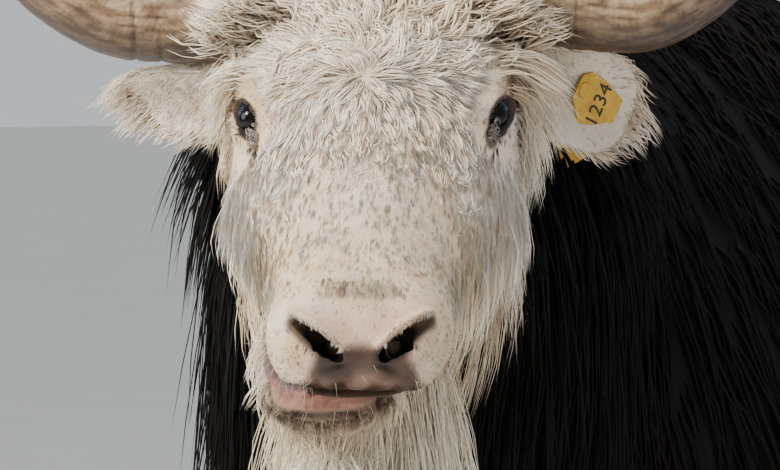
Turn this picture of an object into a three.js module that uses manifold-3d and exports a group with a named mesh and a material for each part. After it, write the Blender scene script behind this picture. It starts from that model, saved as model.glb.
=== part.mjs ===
// A life-size domestic yak bull, black with a white head, standing still with its head turned to its left.
// Millimetres, +Z up. The body lies along Y and faces -Y, its left side is +X, and its soles are at Z = 0.
// Long hair is modelled as flat, tapered locks rooted in the piece that they grow from.

import * as THREE from "three";
import { mergeVertices } from "three/addons/utils/BufferGeometryUtils.js";
import Module from "manifold-3d";

const wasm = await Module();
wasm.setup();

// Clearance between two pieces that touch, and the extra size of the copy that cuts it
const GAP = 0.4;

// The head: where the midpoint between the eyes is, and how the face is turned
const EYE_MIDPOINT = new THREE.Vector3(228, -1005, 1100);
const HEAD_TURN = THREE.MathUtils.degToRad(36.5);
const FACE_SLOPE = THREE.MathUtils.degToRad(38);
const HEAD_ROLL = THREE.MathUtils.degToRad(1.2);
const EYE_SPREAD = 90;
const EYE_RADIUS = 20;

// The legs: how far each pair stands from the midplane, and how far each foot is stepped back
const FRONT_TRACK = 142;
const HIND_TRACK = 158;
const HOOF_HEIGHT = 62;
const STEP = { front_left: -38, front_right: 22, hind_left: 30, hind_right: -28 };

const UP = new THREE.Vector3(0, 0, 1);
const DOWN = new THREE.Vector3(0, 0, -1);
const LEFT = 1;
const RIGHT = -1;

// The face's own directions: down along the nose, to the animal's left, and out of the forehead
const FORWARD = new THREE.Vector3(Math.sin(HEAD_TURN), -Math.cos(HEAD_TURN), 0);
const ROLLED_LEFT = new THREE.Vector3(Math.cos(HEAD_TURN), Math.sin(HEAD_TURN), 0).applyAxisAngle(
  FORWARD,
  HEAD_ROLL,
);
const NOSEWARD = FORWARD.clone()
  .multiplyScalar(Math.cos(FACE_SLOPE))
  .addScaledVector(UP, -Math.sin(FACE_SLOPE));
const BROWWARD = new THREE.Vector3().crossVectors(NOSEWARD, ROLLED_LEFT).normalize();

// A seeded draw from 0 to 1, so that the locks vary the same way each time
function seeded(seed) {
  let state = seed;
  return () => {
    state = (state * 1664525 + 1013904223) % 4294967296;
    return state / 4294967296;
  };
}

// The closed solid of a three.js geometry, with its faces turned outwards
function solidOf(geometry) {
  const bare = geometry.clone();
  bare.deleteAttribute("normal");
  bare.deleteAttribute("uv");
  const merged = mergeVertices(bare, 1e-3);
  const corners = merged.index.array;
  const faces = [];
  for (let i = 0; i < corners.length; i += 3) {
    const [a, b, c] = [corners[i], corners[i + 1], corners[i + 2]];
    if (a !== b && b !== c && c !== a) faces.push([a, b, c]);
  }
  const build = (list) =>
    new wasm.Manifold(
      new wasm.Mesh({
        numProp: 3,
        vertProperties: merged.attributes.position.array,
        triVerts: new Uint32Array(list.flat()),
      }),
    );
  const made = build(faces);
  return made.volume() < 0 ? build(faces.map(([a, b, c]) => [a, c, b])) : made;
}

// The one closed surface that is kept after joining and cutting: the largest
function largest(solid) {
  return solid.decompose().reduce((best, piece) => (piece.volume() > best.volume() ? piece : best));
}

function joined(pieces) {
  return wasm.Manifold.union(pieces);
}

// A form that runs through a list of stations, one ring each. The first and last are its tips.
class Loft {
  constructor(stations, section) {
    this.stations = stations;
    this.section = section;
  }

  // The station at a whole or part index, each size in proportion between its neighbours
  station(t) {
    const i = Math.min(Math.max(Math.floor(t), 0), this.stations.length - 2);
    const [from, to] = [this.stations[i], this.stations[i + 1]];
    const between = (key) => from[key] + (to[key] - from[key]) * (t - i);
    return Object.fromEntries(Object.keys(from).map((key) => [key, between(key)]));
  }

  // The part index at which a size that grows from tip to tip has the given value
  find(key, value) {
    const list = this.stations.map((station) => station[key]);
    const sign = Math.sign(list[list.length - 1] - list[0]);
    let i = 0;
    while (i < list.length - 2 && (list[i + 1] - value) * sign < 0) i += 1;
    return i + (value - list[i]) / (list[i + 1] - list[i]);
  }

  point(t, angle, grow = 0) {
    return this.section(this.station(t), angle, grow);
  }

  // The direction straight out of the surface
  outward(t, angle) {
    const step = 0.05;
    const along = this.point(t + step, angle).sub(this.point(t - step, angle));
    const around = this.point(t, angle + step).sub(this.point(t, angle - step));
    const normal = along.cross(around).normalize();
    const across = this.point(t, angle).sub(this.point(t, angle + Math.PI));
    return normal.dot(across) < 0 ? normal.negate() : normal;
  }

  solid(sides, grow = 0) {
    const last = this.stations.length - 1;
    const form = new THREE.SphereGeometry(1, sides, last);
    const { position, uv } = form.attributes;
    for (let i = 0; i < position.count; i += 1) {
      const t = Math.round((1 - uv.getY(i)) * last);
      const tip = t === 0 || t === last;
      const angle = tip ? 0 : uv.getX(i) * 2 * Math.PI;
      const place = this.section(this.stations[t], angle, tip ? 0 : grow);
      position.setXYZ(i, place.x, place.y, place.z);
    }
    return solidOf(form);
  }
}

// A flat, tapered lock of hair: its root is sunk in the surface, and it bends over along its lie to a tip
function lock({ root, out, lie, length, width, thick, lift, bend = new THREE.Vector3(), sink = 22 }, grow) {
  const rings = [
    { along: 0, rise: -sink / lift, share: 0 },
    { along: 0.14, rise: 0.55, share: 0.9 },
    { along: 0.5, rise: 1, share: 1 },
    { along: 0.8, rise: 0.8, share: 0.62 },
    { along: 1, rise: 0.45, share: 0 },
  ];
  const across = new THREE.Vector3().crossVectors(lie, out).normalize();
  const through = new THREE.Vector3().crossVectors(across, lie).normalize();
  const last = rings.length - 1;
  const centre = ({ along, rise }) =>
    root
      .clone()
      .addScaledVector(out, lift * rise)
      .addScaledVector(lie, length * along)
      .addScaledVector(bend, along * along);
  const end = centre(rings[last]).sub(centre(rings[last - 1])).normalize();
  const form = new THREE.SphereGeometry(1, 4, last);
  const { position, uv } = form.attributes;
  for (let i = 0; i < position.count; i += 1) {
    const ring = rings[Math.round((1 - uv.getY(i)) * last)];
    const angle = uv.getX(i) * 2 * Math.PI;
    const place = centre(ring);
    if (ring.along === 1) place.addScaledVector(end, grow * 3);
    if (ring.share > 0) {
      place.addScaledVector(across, Math.cos(angle) * ((width / 2) * ring.share + grow));
      place.addScaledVector(through, Math.sin(angle) * ((thick / 2) * ring.share + grow));
    }
    position.setXYZ(i, place.x, place.y, place.z);
  }
  return solidOf(form);
}

// A lock that grows from a loft at a station and an angle, falling along a direction
function lockOn(loft, t, angle, { fall, hug = 0.5, ...sizes }, grow) {
  const root = loft.point(t, angle);
  const out = loft.outward(t, angle);
  const onSurface = fall.clone().addScaledVector(out, -hug * fall.dot(out));
  const lie = onSurface.normalize();
  const stand = out.clone().addScaledVector(lie, -out.dot(lie)).normalize();
  return lock({ root, out: stand, lie, ...sizes }, grow);
}

// The trunk: a deep barrel with a hump over the withers, in sections across Y
const TRUNK = new Loft(
  [
    { y: -668, top: 800, level: 770, bottom: 740, half: 0, peak: 0 },
    { y: -645, top: 900, level: 770, bottom: 640, half: 92, peak: 0.1 },
    { y: -590, top: 1020, level: 760, bottom: 560, half: 165, peak: 0.2 },
    { y: -495, top: 1160, level: 755, bottom: 512, half: 226, peak: 0.38 },
    { y: -385, top: 1248, level: 750, bottom: 488, half: 252, peak: 0.48 },
    { y: -265, top: 1262, level: 745, bottom: 476, half: 266, peak: 0.48 },
    { y: -130, top: 1220, level: 740, bottom: 470, half: 280, peak: 0.4 },
    { y: 30, top: 1158, level: 735, bottom: 470, half: 292, peak: 0.26 },
    { y: 210, top: 1122, level: 745, bottom: 482, half: 294, peak: 0.2 },
    { y: 375, top: 1122, level: 775, bottom: 516, half: 284, peak: 0.24 },
    { y: 520, top: 1126, level: 800, bottom: 570, half: 264, peak: 0.3 },
    { y: 645, top: 1098, level: 815, bottom: 610, half: 232, peak: 0.3 },
    { y: 738, top: 1034, level: 830, bottom: 670, half: 168, peak: 0.2 },
    { y: 785, top: 950, level: 840, bottom: 760, half: 78, peak: 0 },
    { y: 796, top: 860, level: 850, bottom: 840, half: 0, peak: 0 },
  ],
  ({ y, top, level, bottom, half, peak }, angle, grow) => {
    const [c, s] = [Math.cos(angle), Math.sin(angle)];
    const narrow = s > 0 ? 1 - peak * s * s : 1;
    const height = s > 0 ? top - level + grow : level - bottom + grow;
    return new THREE.Vector3((half * narrow + grow) * c, y, level + height * s);
  },
);
const TRUNK_SIDES = 18;

// Tiers of the skirt: angle on the section (0 is level, -90 degrees is under the belly), span along Y, sizes
const SKIRT = [
  { angle: 14, from: -560, to: 640, step: 124, length: 280, width: 118, lift: 26 },
  { angle: -14, from: -610, to: 690, step: 104, length: 320, width: 106, lift: 34 },
  { angle: -40, from: -520, to: 640, step: 92, length: 345, width: 96, lift: 40 },
];
const BELLY = { angle: -62, from: -230, to: 330, step: 96, length: 260, width: 92, lift: 20 };
const BREECH = { angles: [8, 42], length: 330, width: 96, lift: 30, y: 742 };
const HAIR_LEAN = new THREE.Vector3(0, 0.16, -1).normalize();

// The left or right half of the trunk with its side of the skirt
function trunkHalf(side, grow) {
  const draw = seeded(side === LEFT ? 11 : 29);
  const pieces = [TRUNK.solid(TRUNK_SIDES, grow)];
  const turned = (degrees) => {
    const angle = THREE.MathUtils.degToRad(degrees);
    return side === LEFT ? angle : Math.PI - angle;
  };
  const hang = (y, degrees, { length, width, lift }, fall) => {
    const vary = 0.86 + 0.28 * draw();
    const sway = new THREE.Vector3(side * 14 * (draw() - 0.5), 34 * (draw() - 0.5), 0);
    const sizes = { length: length * vary, width, thick: 20, lift, bend: sway };
    pieces.push(lockOn(TRUNK, TRUNK.find("y", y), turned(degrees), { fall, ...sizes }, grow));
  };
  SKIRT.forEach((tier, row) => {
    for (let y = tier.from + (row % 2) * tier.step * 0.5; y <= tier.to; y += tier.step) {
      hang(y + 16 * (draw() - 0.5), tier.angle, tier, HAIR_LEAN);
    }
  });
  for (let y = BELLY.from; y <= BELLY.to; y += BELLY.step) hang(y, BELLY.angle, BELLY, DOWN);
  BREECH.angles.forEach((angle) => hang(BREECH.y, angle, BREECH, DOWN));
  const reach = 900;
  const halfSpace = solidOf(
    new THREE.BoxGeometry(reach, 3 * reach, 2 * reach).translate(side * ((reach + GAP) / 2), 0, reach),
  );
  return joined(pieces).intersect(halfSpace);
}

// A form swept through points, each station with its half widths across and up
function swept(stations) {
  const at = ({ x, y, z }) => new THREE.Vector3(x, y, z);
  const withLean = stations.map((station, i) => {
    const before = at(stations[Math.max(i - 1, 0)]);
    const after = at(stations[Math.min(i + 1, stations.length - 1)]);
    const run = after.sub(before).normalize();
    return { ...station, runX: run.x, runY: run.y, runZ: run.z };
  });
  return new Loft(withLean, (station, angle, grow) => {
    const run = new THREE.Vector3(station.runX, station.runY, station.runZ);
    const across = new THREE.Vector3().crossVectors(UP, run).normalize();
    const rise = new THREE.Vector3().crossVectors(run, across).normalize();
    return at(station)
      .addScaledVector(across, Math.cos(angle) * (station.across + grow))
      .addScaledVector(rise, Math.sin(angle) * (station.up + grow));
  });
}

// The neck, which bends to the left as it rises from the shoulders to the back of the head
const NECK = swept([
  { x: 0, y: -340, z: 935, across: 0, up: 0 },
  { x: 0, y: -390, z: 942, across: 150, up: 205 },
  { x: 3, y: -495, z: 964, across: 180, up: 238 },
  { x: 18, y: -608, z: 996, across: 178, up: 218 },
  { x: 48, y: -712, z: 1034, across: 172, up: 190 },
  { x: 88, y: -796, z: 1068, across: 164, up: 164 },
  { x: 124, y: -850, z: 1094, across: 136, up: 128 },
  { x: 150, y: -880, z: 1110, across: 0, up: 0 },
]);

// Locks of the neck: station, angle from its left side in degrees, length and width
const RUFF = [
  { t: 2.6, angles: [-150, -118, -62, -30], length: 340, width: 108 },
  { t: 3.4, angles: [-168, -132, -96, -60, -14], length: 310, width: 104 },
  { t: 4.2, angles: [-155, -120, -80, -32], length: 270, width: 94 },
  { t: 5.0, angles: [-176, -144, -38, -6], length: 320, width: 104 },
  { t: 5.7, angles: [-178, -150, -32], length: 300, width: 92 },
];
const MANE = { stations: [1.8, 2.8, 3.8, 4.8], angles: [62, 118], length: 165, width: 92 };

function neckSolid(grow) {
  const draw = seeded(47);
  const pieces = [NECK.solid(16, grow)];
  const hang = (t, degrees, { length, width }, fall, lift) => {
    const angle = THREE.MathUtils.degToRad(degrees + 10 * (draw() - 0.5));
    const bend = new THREE.Vector3(30 * (draw() - 0.5), 24 * (draw() - 0.5), 0);
    const sizes = { length: length * (0.88 + 0.24 * draw()), width, thick: 20, lift, bend };
    pieces.push(lockOn(NECK, t, angle, { fall, ...sizes }, grow));
  };
  RUFF.forEach((row) => row.angles.forEach((angle) => hang(row.t, angle, row, DOWN, 26)));
  MANE.stations.forEach((t) => {
    MANE.angles.forEach((angle) => {
      const side = angle < 90 ? LEFT : RIGHT;
      hang(t, angle, MANE, new THREE.Vector3(side * 0.7, 0.55, -0.8).normalize(), 20);
    });
  });
  return joined(pieces);
}

// A point of the head: along the nose from the eyes, to the animal's left, and out of the face
function faceDirection(along, left, out) {
  return new THREE.Vector3()
    .addScaledVector(NOSEWARD, along)
    .addScaledVector(ROLLED_LEFT, left)
    .addScaledVector(BROWWARD, out);
}
function facePoint(along, left, out) {
  return faceDirection(along, left, out).add(EYE_MIDPOINT);
}

// A boxy ring: the power is under 1 where the section is squarer than an ellipse
function boxy(value, power) {
  return Math.sign(value) * Math.abs(value) ** power;
}

// The skull with the upper jaw, in sections across the nose
const HEAD = new Loft(
  [
    { s: -192, top: -20, level: -40, bottom: -60, half: 0, jowl: 0, bridge: 0.12 },
    { s: -184, top: 26, level: -40, bottom: -96, half: 64, jowl: 0.1, bridge: 0.12 },
    { s: -150, top: 54, level: -38, bottom: -140, half: 100, jowl: 0.1, bridge: 0.12 },
    { s: -105, top: 62, level: -36, bottom: -178, half: 115, jowl: 0.16, bridge: 0.12 },
    { s: -55, top: 62, level: -36, bottom: -190, half: 119, jowl: 0.2, bridge: 0.12 },
    { s: 0, top: 56, level: -36, bottom: -178, half: 119, jowl: 0.2, bridge: 0.16 },
    { s: 50, top: 46, level: -54, bottom: -152, half: 122, jowl: 0.16, bridge: 0.26 },
    { s: 100, top: 37, level: -56, bottom: -126, half: 107, jowl: 0.12, bridge: 0.28 },
    { s: 150, top: 30, level: -44, bottom: -100, half: 82, jowl: 0.08, bridge: 0.2 },
    { s: 200, top: 24, level: -34, bottom: -80, half: 73, jowl: 0.04, bridge: 0.08 },
    { s: 236, top: 14, level: -30, bottom: -68, half: 71, jowl: 0, bridge: 0.02 },
    { s: 260, top: -1, level: -32, bottom: -62, half: 63, jowl: 0, bridge: 0 },
    { s: 273, top: -15, level: -36, bottom: -56, half: 44, jowl: 0, bridge: 0 },
    { s: 278, top: -36, level: -38, bottom: -40, half: 0, jowl: 0, bridge: 0 },
  ],
  ({ s, top, level, bottom, half, jowl, bridge }, angle, grow) => {
    const [c, h] = [boxy(Math.cos(angle), 0.82), boxy(Math.sin(angle), 0.86)];
    const narrow = h < 0 ? 1 + jowl * h : 1 - bridge * h * h;
    const height = h > 0 ? top - level + grow : level - bottom + grow;
    return facePoint(s, (half * narrow + grow) * c, level + height * h);
  },
);

// The lower jaw, swung to the animal's right in mid-chew
const JAW_SWING = -30;
const JAW = new Loft(
  [
    { s: -62, top: -130, level: -140, bottom: -150, half: 0 },
    { s: -46, top: -100, level: -140, bottom: -200, half: 84 },
    { s: 0, top: -90, level: -132, bottom: -212, half: 98 },
    { s: 60, top: -80, level: -118, bottom: -194, half: 94 },
    { s: 120, top: -76, level: -110, bottom: -170, half: 74 },
    { s: 172, top: -76, level: -106, bottom: -151, half: 56 },
    { s: 212, top: -76, level: -104, bottom: -140, half: 51 },
    { s: 238, top: -74, level: -98, bottom: -122, half: 43 },
    { s: 250, top: -78, level: -92, bottom: -106, half: 27 },
    { s: 254, top: -88, level: -90, bottom: -92, half: 0 },
  ],
  ({ s, top, level, bottom, half }, angle, grow) => {
    const [c, h] = [boxy(Math.cos(angle), 0.85), boxy(Math.sin(angle), 0.85)];
    const height = h > 0 ? top - level + grow : level - bottom + grow;
    const swing = JAW_SWING * THREE.MathUtils.smoothstep(s, 0, 220);
    return facePoint(s, swing + (half * (1 + 0.2 * Math.min(h, 0)) + grow) * c, level + height * h);
  },
);

// An ellipsoid placed on the face, turned so that its long axis leans from the nose's line towards the side
function faceEllipsoid({ s, u, n, along, across, deep, lean = 0 }, grow = 0) {
  const form = new THREE.SphereGeometry(1, 10, 7);
  form.scale(along + grow, across + grow, deep + grow);
  form.rotateZ(lean);
  form.applyMatrix4(new THREE.Matrix4().makeBasis(NOSEWARD, ROLLED_LEFT, BROWWARD));
  const place = facePoint(s, u, n);
  return solidOf(form.translate(place.x, place.y, place.z));
}

function eyeball(side, grow) {
  const form = new THREE.SphereGeometry(EYE_RADIUS + grow, 12, 8);
  const place = facePoint(0, side * EYE_SPREAD, 0);
  return solidOf(form.translate(place.x, place.y, place.z));
}

// Lids stand round the eye as a thick shell, and the nostril wing as a swelling beside its opening
const LID = { s: 0, n: 0, along: 26, across: 25.5, deep: 25.5 };
const GAZE = { along: 0.42, left: 0.55, out: 0.66 };
const SLIT = { reach: 23, long: 17.5, wide: 12, deep: 10, slant: 0.62 };
const NOSTRIL_WING = { s: 245, n: -10, along: 22, across: 15, deep: 15, lean: 0.8, spread: 42 };
const NOSTRIL = { s: 262, n: -9, along: 24, across: 9.5, deep: 11, lean: 0.85, spread: 35 };

// The slit between the lids, on the side of the eyeball that faces out and slightly forwards
function eyeSlit(side) {
  const gaze = faceDirection(GAZE.along, side * GAZE.left, GAZE.out).normalize();
  const down = NOSEWARD.clone().addScaledVector(gaze, -NOSEWARD.dot(gaze)).normalize();
  const along = down.applyAxisAngle(gaze, side * SLIT.slant);
  const across = new THREE.Vector3().crossVectors(gaze, along);
  const place = facePoint(0, side * EYE_SPREAD, 0).addScaledVector(gaze, SLIT.reach);
  const form = new THREE.SphereGeometry(1, 12, 8).scale(SLIT.long, SLIT.wide, SLIT.deep);
  form.applyMatrix4(new THREE.Matrix4().makeBasis(along, across, gaze));
  return solidOf(form.translate(place.x, place.y, place.z));
}

// Locks of the head: the forelock between the horns, and the long hair of the cheeks
const FORELOCK = [
  { s: -164, lefts: [-64, -22, 22, 64], length: 92 },
  { s: -134, lefts: [-106, -62, -20, 22, 64, 108], length: 80 },
  { s: -98, lefts: [-70, -24, 20, 66], length: 66 },
];
const CHEEK = [
  { s: -80, angles: [-26, -54], length: 155 },
  { s: -32, angles: [-36, -62], length: 160 },
  { s: 24, angles: [-50], length: 135 },
];

function headSolid(grow) {
  const draw = seeded(71);
  const pieces = [HEAD.solid(22, grow)];
  FORELOCK.forEach(({ s, lefts, length }) => {
    lefts.forEach((left) => {
      const t = HEAD.find("s", s);
      const angle = Math.acos(THREE.MathUtils.clamp(left / 116, -1, 1));
      const fall = faceDirection(0.9, left / 110, 0).normalize();
      const vary = 0.85 + 0.3 * draw();
      const bend = faceDirection(0, 20 * (draw() - 0.5), 6);
      const sizes = { length: length * vary, width: 46, thick: 18, lift: 13, sink: 16, bend };
      pieces.push(lockOn(HEAD, t, angle, { fall, ...sizes }, grow));
    });
  });
  [LEFT, RIGHT].forEach((side) => {
    pieces.push(faceEllipsoid({ ...LID, u: side * EYE_SPREAD }, grow));
    const wing = { ...NOSTRIL_WING, u: side * NOSTRIL_WING.spread, lean: -side * NOSTRIL_WING.lean };
    pieces.push(faceEllipsoid(wing, grow));
    CHEEK.forEach(({ s, angles, length }) => {
      angles.forEach((degrees) => {
        const angle = THREE.MathUtils.degToRad(degrees);
        const fall = DOWN.clone().addScaledVector(FORWARD, -0.12).normalize();
        const sizes = { length: length * (0.85 + 0.3 * draw()), width: 50, thick: 15, lift: 15, sink: 16 };
        const t = HEAD.find("s", s);
        pieces.push(lockOn(HEAD, t, side === LEFT ? angle : Math.PI - angle, { fall, ...sizes }, grow));
      });
    });
  });
  return joined(pieces);
}

// The openings of the face: the nostrils and the slits between the lids
function faceOpenings() {
  const pieces = [];
  [LEFT, RIGHT].forEach((side) => {
    pieces.push(faceEllipsoid({ ...NOSTRIL, u: side * NOSTRIL.spread, lean: -side * NOSTRIL.lean }));
    pieces.push(eyeSlit(side));
  });
  return joined(pieces);
}

// Hair under the jaw and throat
const BEARD = [
  { s: -20, angles: [-136, -90, -44], length: 205, width: 70 },
  { s: 34, angles: [-142, -106, -74, -38], length: 195, width: 60 },
  { s: 88, angles: [-128, -90, -52], length: 165, width: 56 },
  { s: 138, angles: [-112, -68], length: 105, width: 44 },
];

function jawSolid(grow) {
  const draw = seeded(83);
  const pieces = [JAW.solid(14, grow)];
  BEARD.forEach(({ s, angles, length, width }) => {
    angles.forEach((degrees) => {
      const fall = DOWN.clone().addScaledVector(FORWARD, -0.18).normalize();
      const bend = new THREE.Vector3(22 * (draw() - 0.5), 22 * (draw() - 0.5), 0);
      const sizes = { length: length * (0.85 + 0.3 * draw()), width, thick: 17, lift: 10, sink: 18, bend };
      const angle = THREE.MathUtils.degToRad(degrees);
      pieces.push(lockOn(JAW, JAW.find("s", s), angle, { fall, hug: 0, ...sizes }, grow));
    });
  });
  return joined(pieces);
}

// The front teeth of the lower jaw, which show in the open corner of the mouth
const TEETH = {
  count: 8,
  topRadius: 5.2,
  rootRadius: 3.6,
  flat: 0.7,
  bow: 34,
  spread: 2.1,
  s: 214,
  n: -70,
  height: 17,
  sides: 5,
};
const GUM = { back: 14, below: 7, along: 20, across: 36, deep: 5 };

function teethSolid() {
  const pieces = [];
  for (let i = 0; i < TEETH.count; i += 1) {
    const turn = ((i + 0.5) / TEETH.count - 0.5) * TEETH.spread;
    const form = new THREE.CylinderGeometry(TEETH.topRadius, TEETH.rootRadius, TEETH.height, TEETH.sides);
    form.scale(1, 1, TEETH.flat);
    form.rotateY(turn).rotateX(Math.PI / 2);
    form.applyMatrix4(new THREE.Matrix4().makeBasis(ROLLED_LEFT, NOSEWARD.clone().negate(), BROWWARD));
    const back = TEETH.bow * (1 - Math.cos(turn));
    const place = facePoint(TEETH.s - back, JAW_SWING + TEETH.bow * Math.sin(turn), TEETH.n);
    pieces.push(solidOf(form.translate(place.x, place.y, place.z)));
  }
  pieces.push(faceEllipsoid({ ...GUM, s: TEETH.s - GUM.back, u: JAW_SWING, n: TEETH.n - GUM.below }));
  return joined(pieces);
}

// A horn runs out level from the poll, then curves up with its tip leaning back
const HORN = swept(
  [
    { out: 62, ahead: 0, up: 2, radius: 0 },
    { out: 70, ahead: 0, up: 1, radius: 38 },
    { out: 146, ahead: 4, up: -2, radius: 38.5 },
    { out: 205, ahead: 10, up: 3, radius: 36 },
    { out: 256, ahead: 16, up: 27, radius: 33 },
    { out: 298, ahead: 18, up: 68, radius: 30 },
    { out: 326, ahead: 14, up: 122, radius: 26 },
    { out: 340, ahead: 2, up: 182, radius: 21 },
    { out: 342, ahead: -18, up: 240, radius: 15.5 },
    { out: 334, ahead: -42, up: 290, radius: 9.5 },
    { out: 326, ahead: -60, up: 322, radius: 3.5 },
    { out: 324, ahead: -64, up: 330, radius: 0 },
  ].map(({ out, ahead, up, radius }) => ({ x: out, y: ahead, z: up, across: radius, up: radius })),
);
const HORN_SEAT = { s: -112, n: 16 };
const HORN_BASE_LIFT = { left: 16, right: 5, from: 90, to: 230 };
const HORN_OUTER_LIFT = { left: -9, right: 0, from: 150, to: 260 };

// The horn is drawn for the left side in its own frame, and set on the head by this matrix
function hornMatrix(side) {
  const seat = facePoint(HORN_SEAT.s, 0, HORN_SEAT.n);
  const rise = new THREE.Vector3().crossVectors(FORWARD, ROLLED_LEFT).normalize();
  return new THREE.Matrix4()
    .makeBasis(ROLLED_LEFT.clone().multiplyScalar(side), FORWARD, rise)
    .setPosition(seat);
}

// An upright frame for rings of the horn, which turns smoothly as the horn rises
function hornSolid(side, grow) {
  const stations = HORN.stations;
  const last = stations.length - 1;
  const hand = side === LEFT ? "left" : "right";
  const fade = (x, { from, to }) => THREE.MathUtils.smoothstep(x, from, to);
  const form = new THREE.SphereGeometry(1, 16, last);
  const { position, uv } = form.attributes;
  for (let i = 0; i < position.count; i += 1) {
    const { x, y, z, across, runX, runY, runZ } = stations[Math.round((1 - uv.getY(i)) * last)];
    const angle = uv.getX(i) * 2 * Math.PI;
    const radius = across > 0 ? across + grow : 0;
    const run = new THREE.Vector3(runX, runY, runZ);
    const fore = new THREE.Vector3(0, 1, 0).addScaledVector(run, -run.y).normalize();
    const inner = new THREE.Vector3().crossVectors(fore, run).normalize();
    const atBase = HORN_BASE_LIFT[hand] * (1 - fade(x, HORN_BASE_LIFT));
    const further = HORN_OUTER_LIFT[hand] * fade(x, HORN_OUTER_LIFT);
    const place = new THREE.Vector3(x, y, z + atBase + further)
      .addScaledVector(fore, Math.cos(angle) * radius)
      .addScaledVector(inner, Math.sin(angle) * radius);
    position.setXYZ(i, place.x, place.y, place.z);
  }
  return solidOf(form.applyMatrix4(hornMatrix(side)));
}

// An ear: a leaf rolled into a cup, pointing out, back and a little down. The left one turns its hollow
// forwards, and the right one down
const EAR_SEAT = { s: -92, u: 94, n: -22 };
const EAR_TURN = {
  left: {
    point: { left: 0.72, forward: -0.62, up: -0.3 },
    hollow: { left: 0.4, forward: 0.86, up: -0.1 },
  },
  right: {
    point: { left: 0.8, forward: -0.58, up: -0.12 },
    hollow: { left: 0.25, forward: 0.62, up: -0.72 },
  },
};
const EAR_STATIONS = [
  { d: -6, half: 0, roll: 0.9, thick: 0 },
  { d: 0, half: 26, roll: 1.5, thick: 7 },
  { d: 30, half: 41, roll: 1.35, thick: 6 },
  { d: 64, half: 53, roll: 1.15, thick: 5 },
  { d: 100, half: 53, roll: 1.0, thick: 4.5 },
  { d: 130, half: 39, roll: 0.9, thick: 4 },
  { d: 149, half: 18, roll: 0.8, thick: 3.2 },
  { d: 155, half: 0, roll: 0.8, thick: 0 },
];

// A level direction of the head: forwards, to one side of it, and up
function levelDirection({ left, forward, up }, side) {
  return new THREE.Vector3()
    .addScaledVector(ROLLED_LEFT, side * left)
    .addScaledVector(FORWARD, forward)
    .addScaledVector(UP, up);
}

function earFrame(side) {
  const turn = side === LEFT ? EAR_TURN.left : EAR_TURN.right;
  const point = levelDirection(turn.point, side).normalize();
  const hollow = levelDirection(turn.hollow, side);
  hollow.addScaledVector(point, -hollow.dot(point)).normalize();
  const across = new THREE.Vector3().crossVectors(point, hollow).normalize();
  const width = across.z < 0 ? across.negate() : across;
  const seat = facePoint(EAR_SEAT.s, side * EAR_SEAT.u, EAR_SEAT.n);
  return { point, hollow, width, seat };
}

function earLoft(side) {
  const { point, hollow, width, seat } = earFrame(side);
  return new Loft(EAR_STATIONS, ({ d, half, roll, thick }, angle, grow) => {
    const arc = Math.cos(angle) * roll;
    const radius = (half + grow) / roll;
    const depth = Math.sin(angle) * (thick + grow);
    return seat
      .clone()
      .addScaledVector(point, d)
      .addScaledVector(width, radius * Math.sin(arc) - depth * Math.sin(arc))
      .addScaledVector(hollow, radius * (1 - Math.cos(arc)) + depth * Math.cos(arc));
  });
}

// Long hairs on the rim of the ear, as a few locks
const EAR_LOCKS = [
  { t: 4.6, angle: 0.25, length: 34 },
  { t: 5.5, angle: 1.6, length: 40 },
  { t: 4.9, angle: 2.95, length: 46 },
  { t: 4.1, angle: 2.95, length: 46 },
  { t: 3.3, angle: 2.95, length: 46 },
  { t: 2.5, angle: 2.95, length: 42 },
];

function earSolid(side, grow) {
  const ear = earLoft(side);
  const { point, width } = earFrame(side);
  const pieces = [ear.solid(12, grow)];
  EAR_LOCKS.forEach(({ t, angle, length }) => {
    const away = width.clone().multiplyScalar(Math.cos(angle) * 0.5);
    const fall = away.addScaledVector(point, 0.75).addScaledVector(UP, -0.5).normalize();
    const sizes = { length, width: 34, thick: 6, lift: 2.5, sink: 3 };
    pieces.push(lockOn(ear, t, angle, { fall, hug: 0, ...sizes }, grow));
  });
  return joined(pieces);
}

// The tag in the left ear: a tapered plate on each face, held by a stem through the ear
const TAG = { d: 90, rise: 6, high: 50, wide: 62, neckWide: 20, thick: 1.8, stem: 3, stand: 9 };
const TAG_BUTTON = { radius: 7, thick: 4 };
const TAG_CORNER = { top: 9, shoulder: -15, round: 6 };
const TAG_FRONT = { turn: -0.14, tip: 0.12, longer: -4 };
const TAG_BACK = { turn: -0.8, tip: 0, longer: 13 };

// A plate that hangs from its neck at the origin, with rounded lower corners
function tagPlate(longer, grow) {
  const [half, neck, drop] = [TAG.wide / 2 + grow, TAG.neckWide / 2 + grow, -TAG.high - longer - grow];
  const { top, shoulder, round } = TAG_CORNER;
  const shape = new THREE.Shape();
  shape.moveTo(-neck, top + grow);
  shape.lineTo(-half, shoulder);
  shape.lineTo(-half, drop + round);
  shape.quadraticCurveTo(-half, drop, -half + round, drop);
  shape.lineTo(half - round, drop);
  shape.quadraticCurveTo(half, drop, half, drop + round);
  shape.lineTo(half, shoulder);
  shape.lineTo(neck, top + grow);
  const depth = TAG.thick + 2 * grow;
  return new THREE.ExtrudeGeometry(shape, { depth, bevelEnabled: false, curveSegments: 3 })
    .translate(0, 0, -depth / 2);
}

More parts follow.
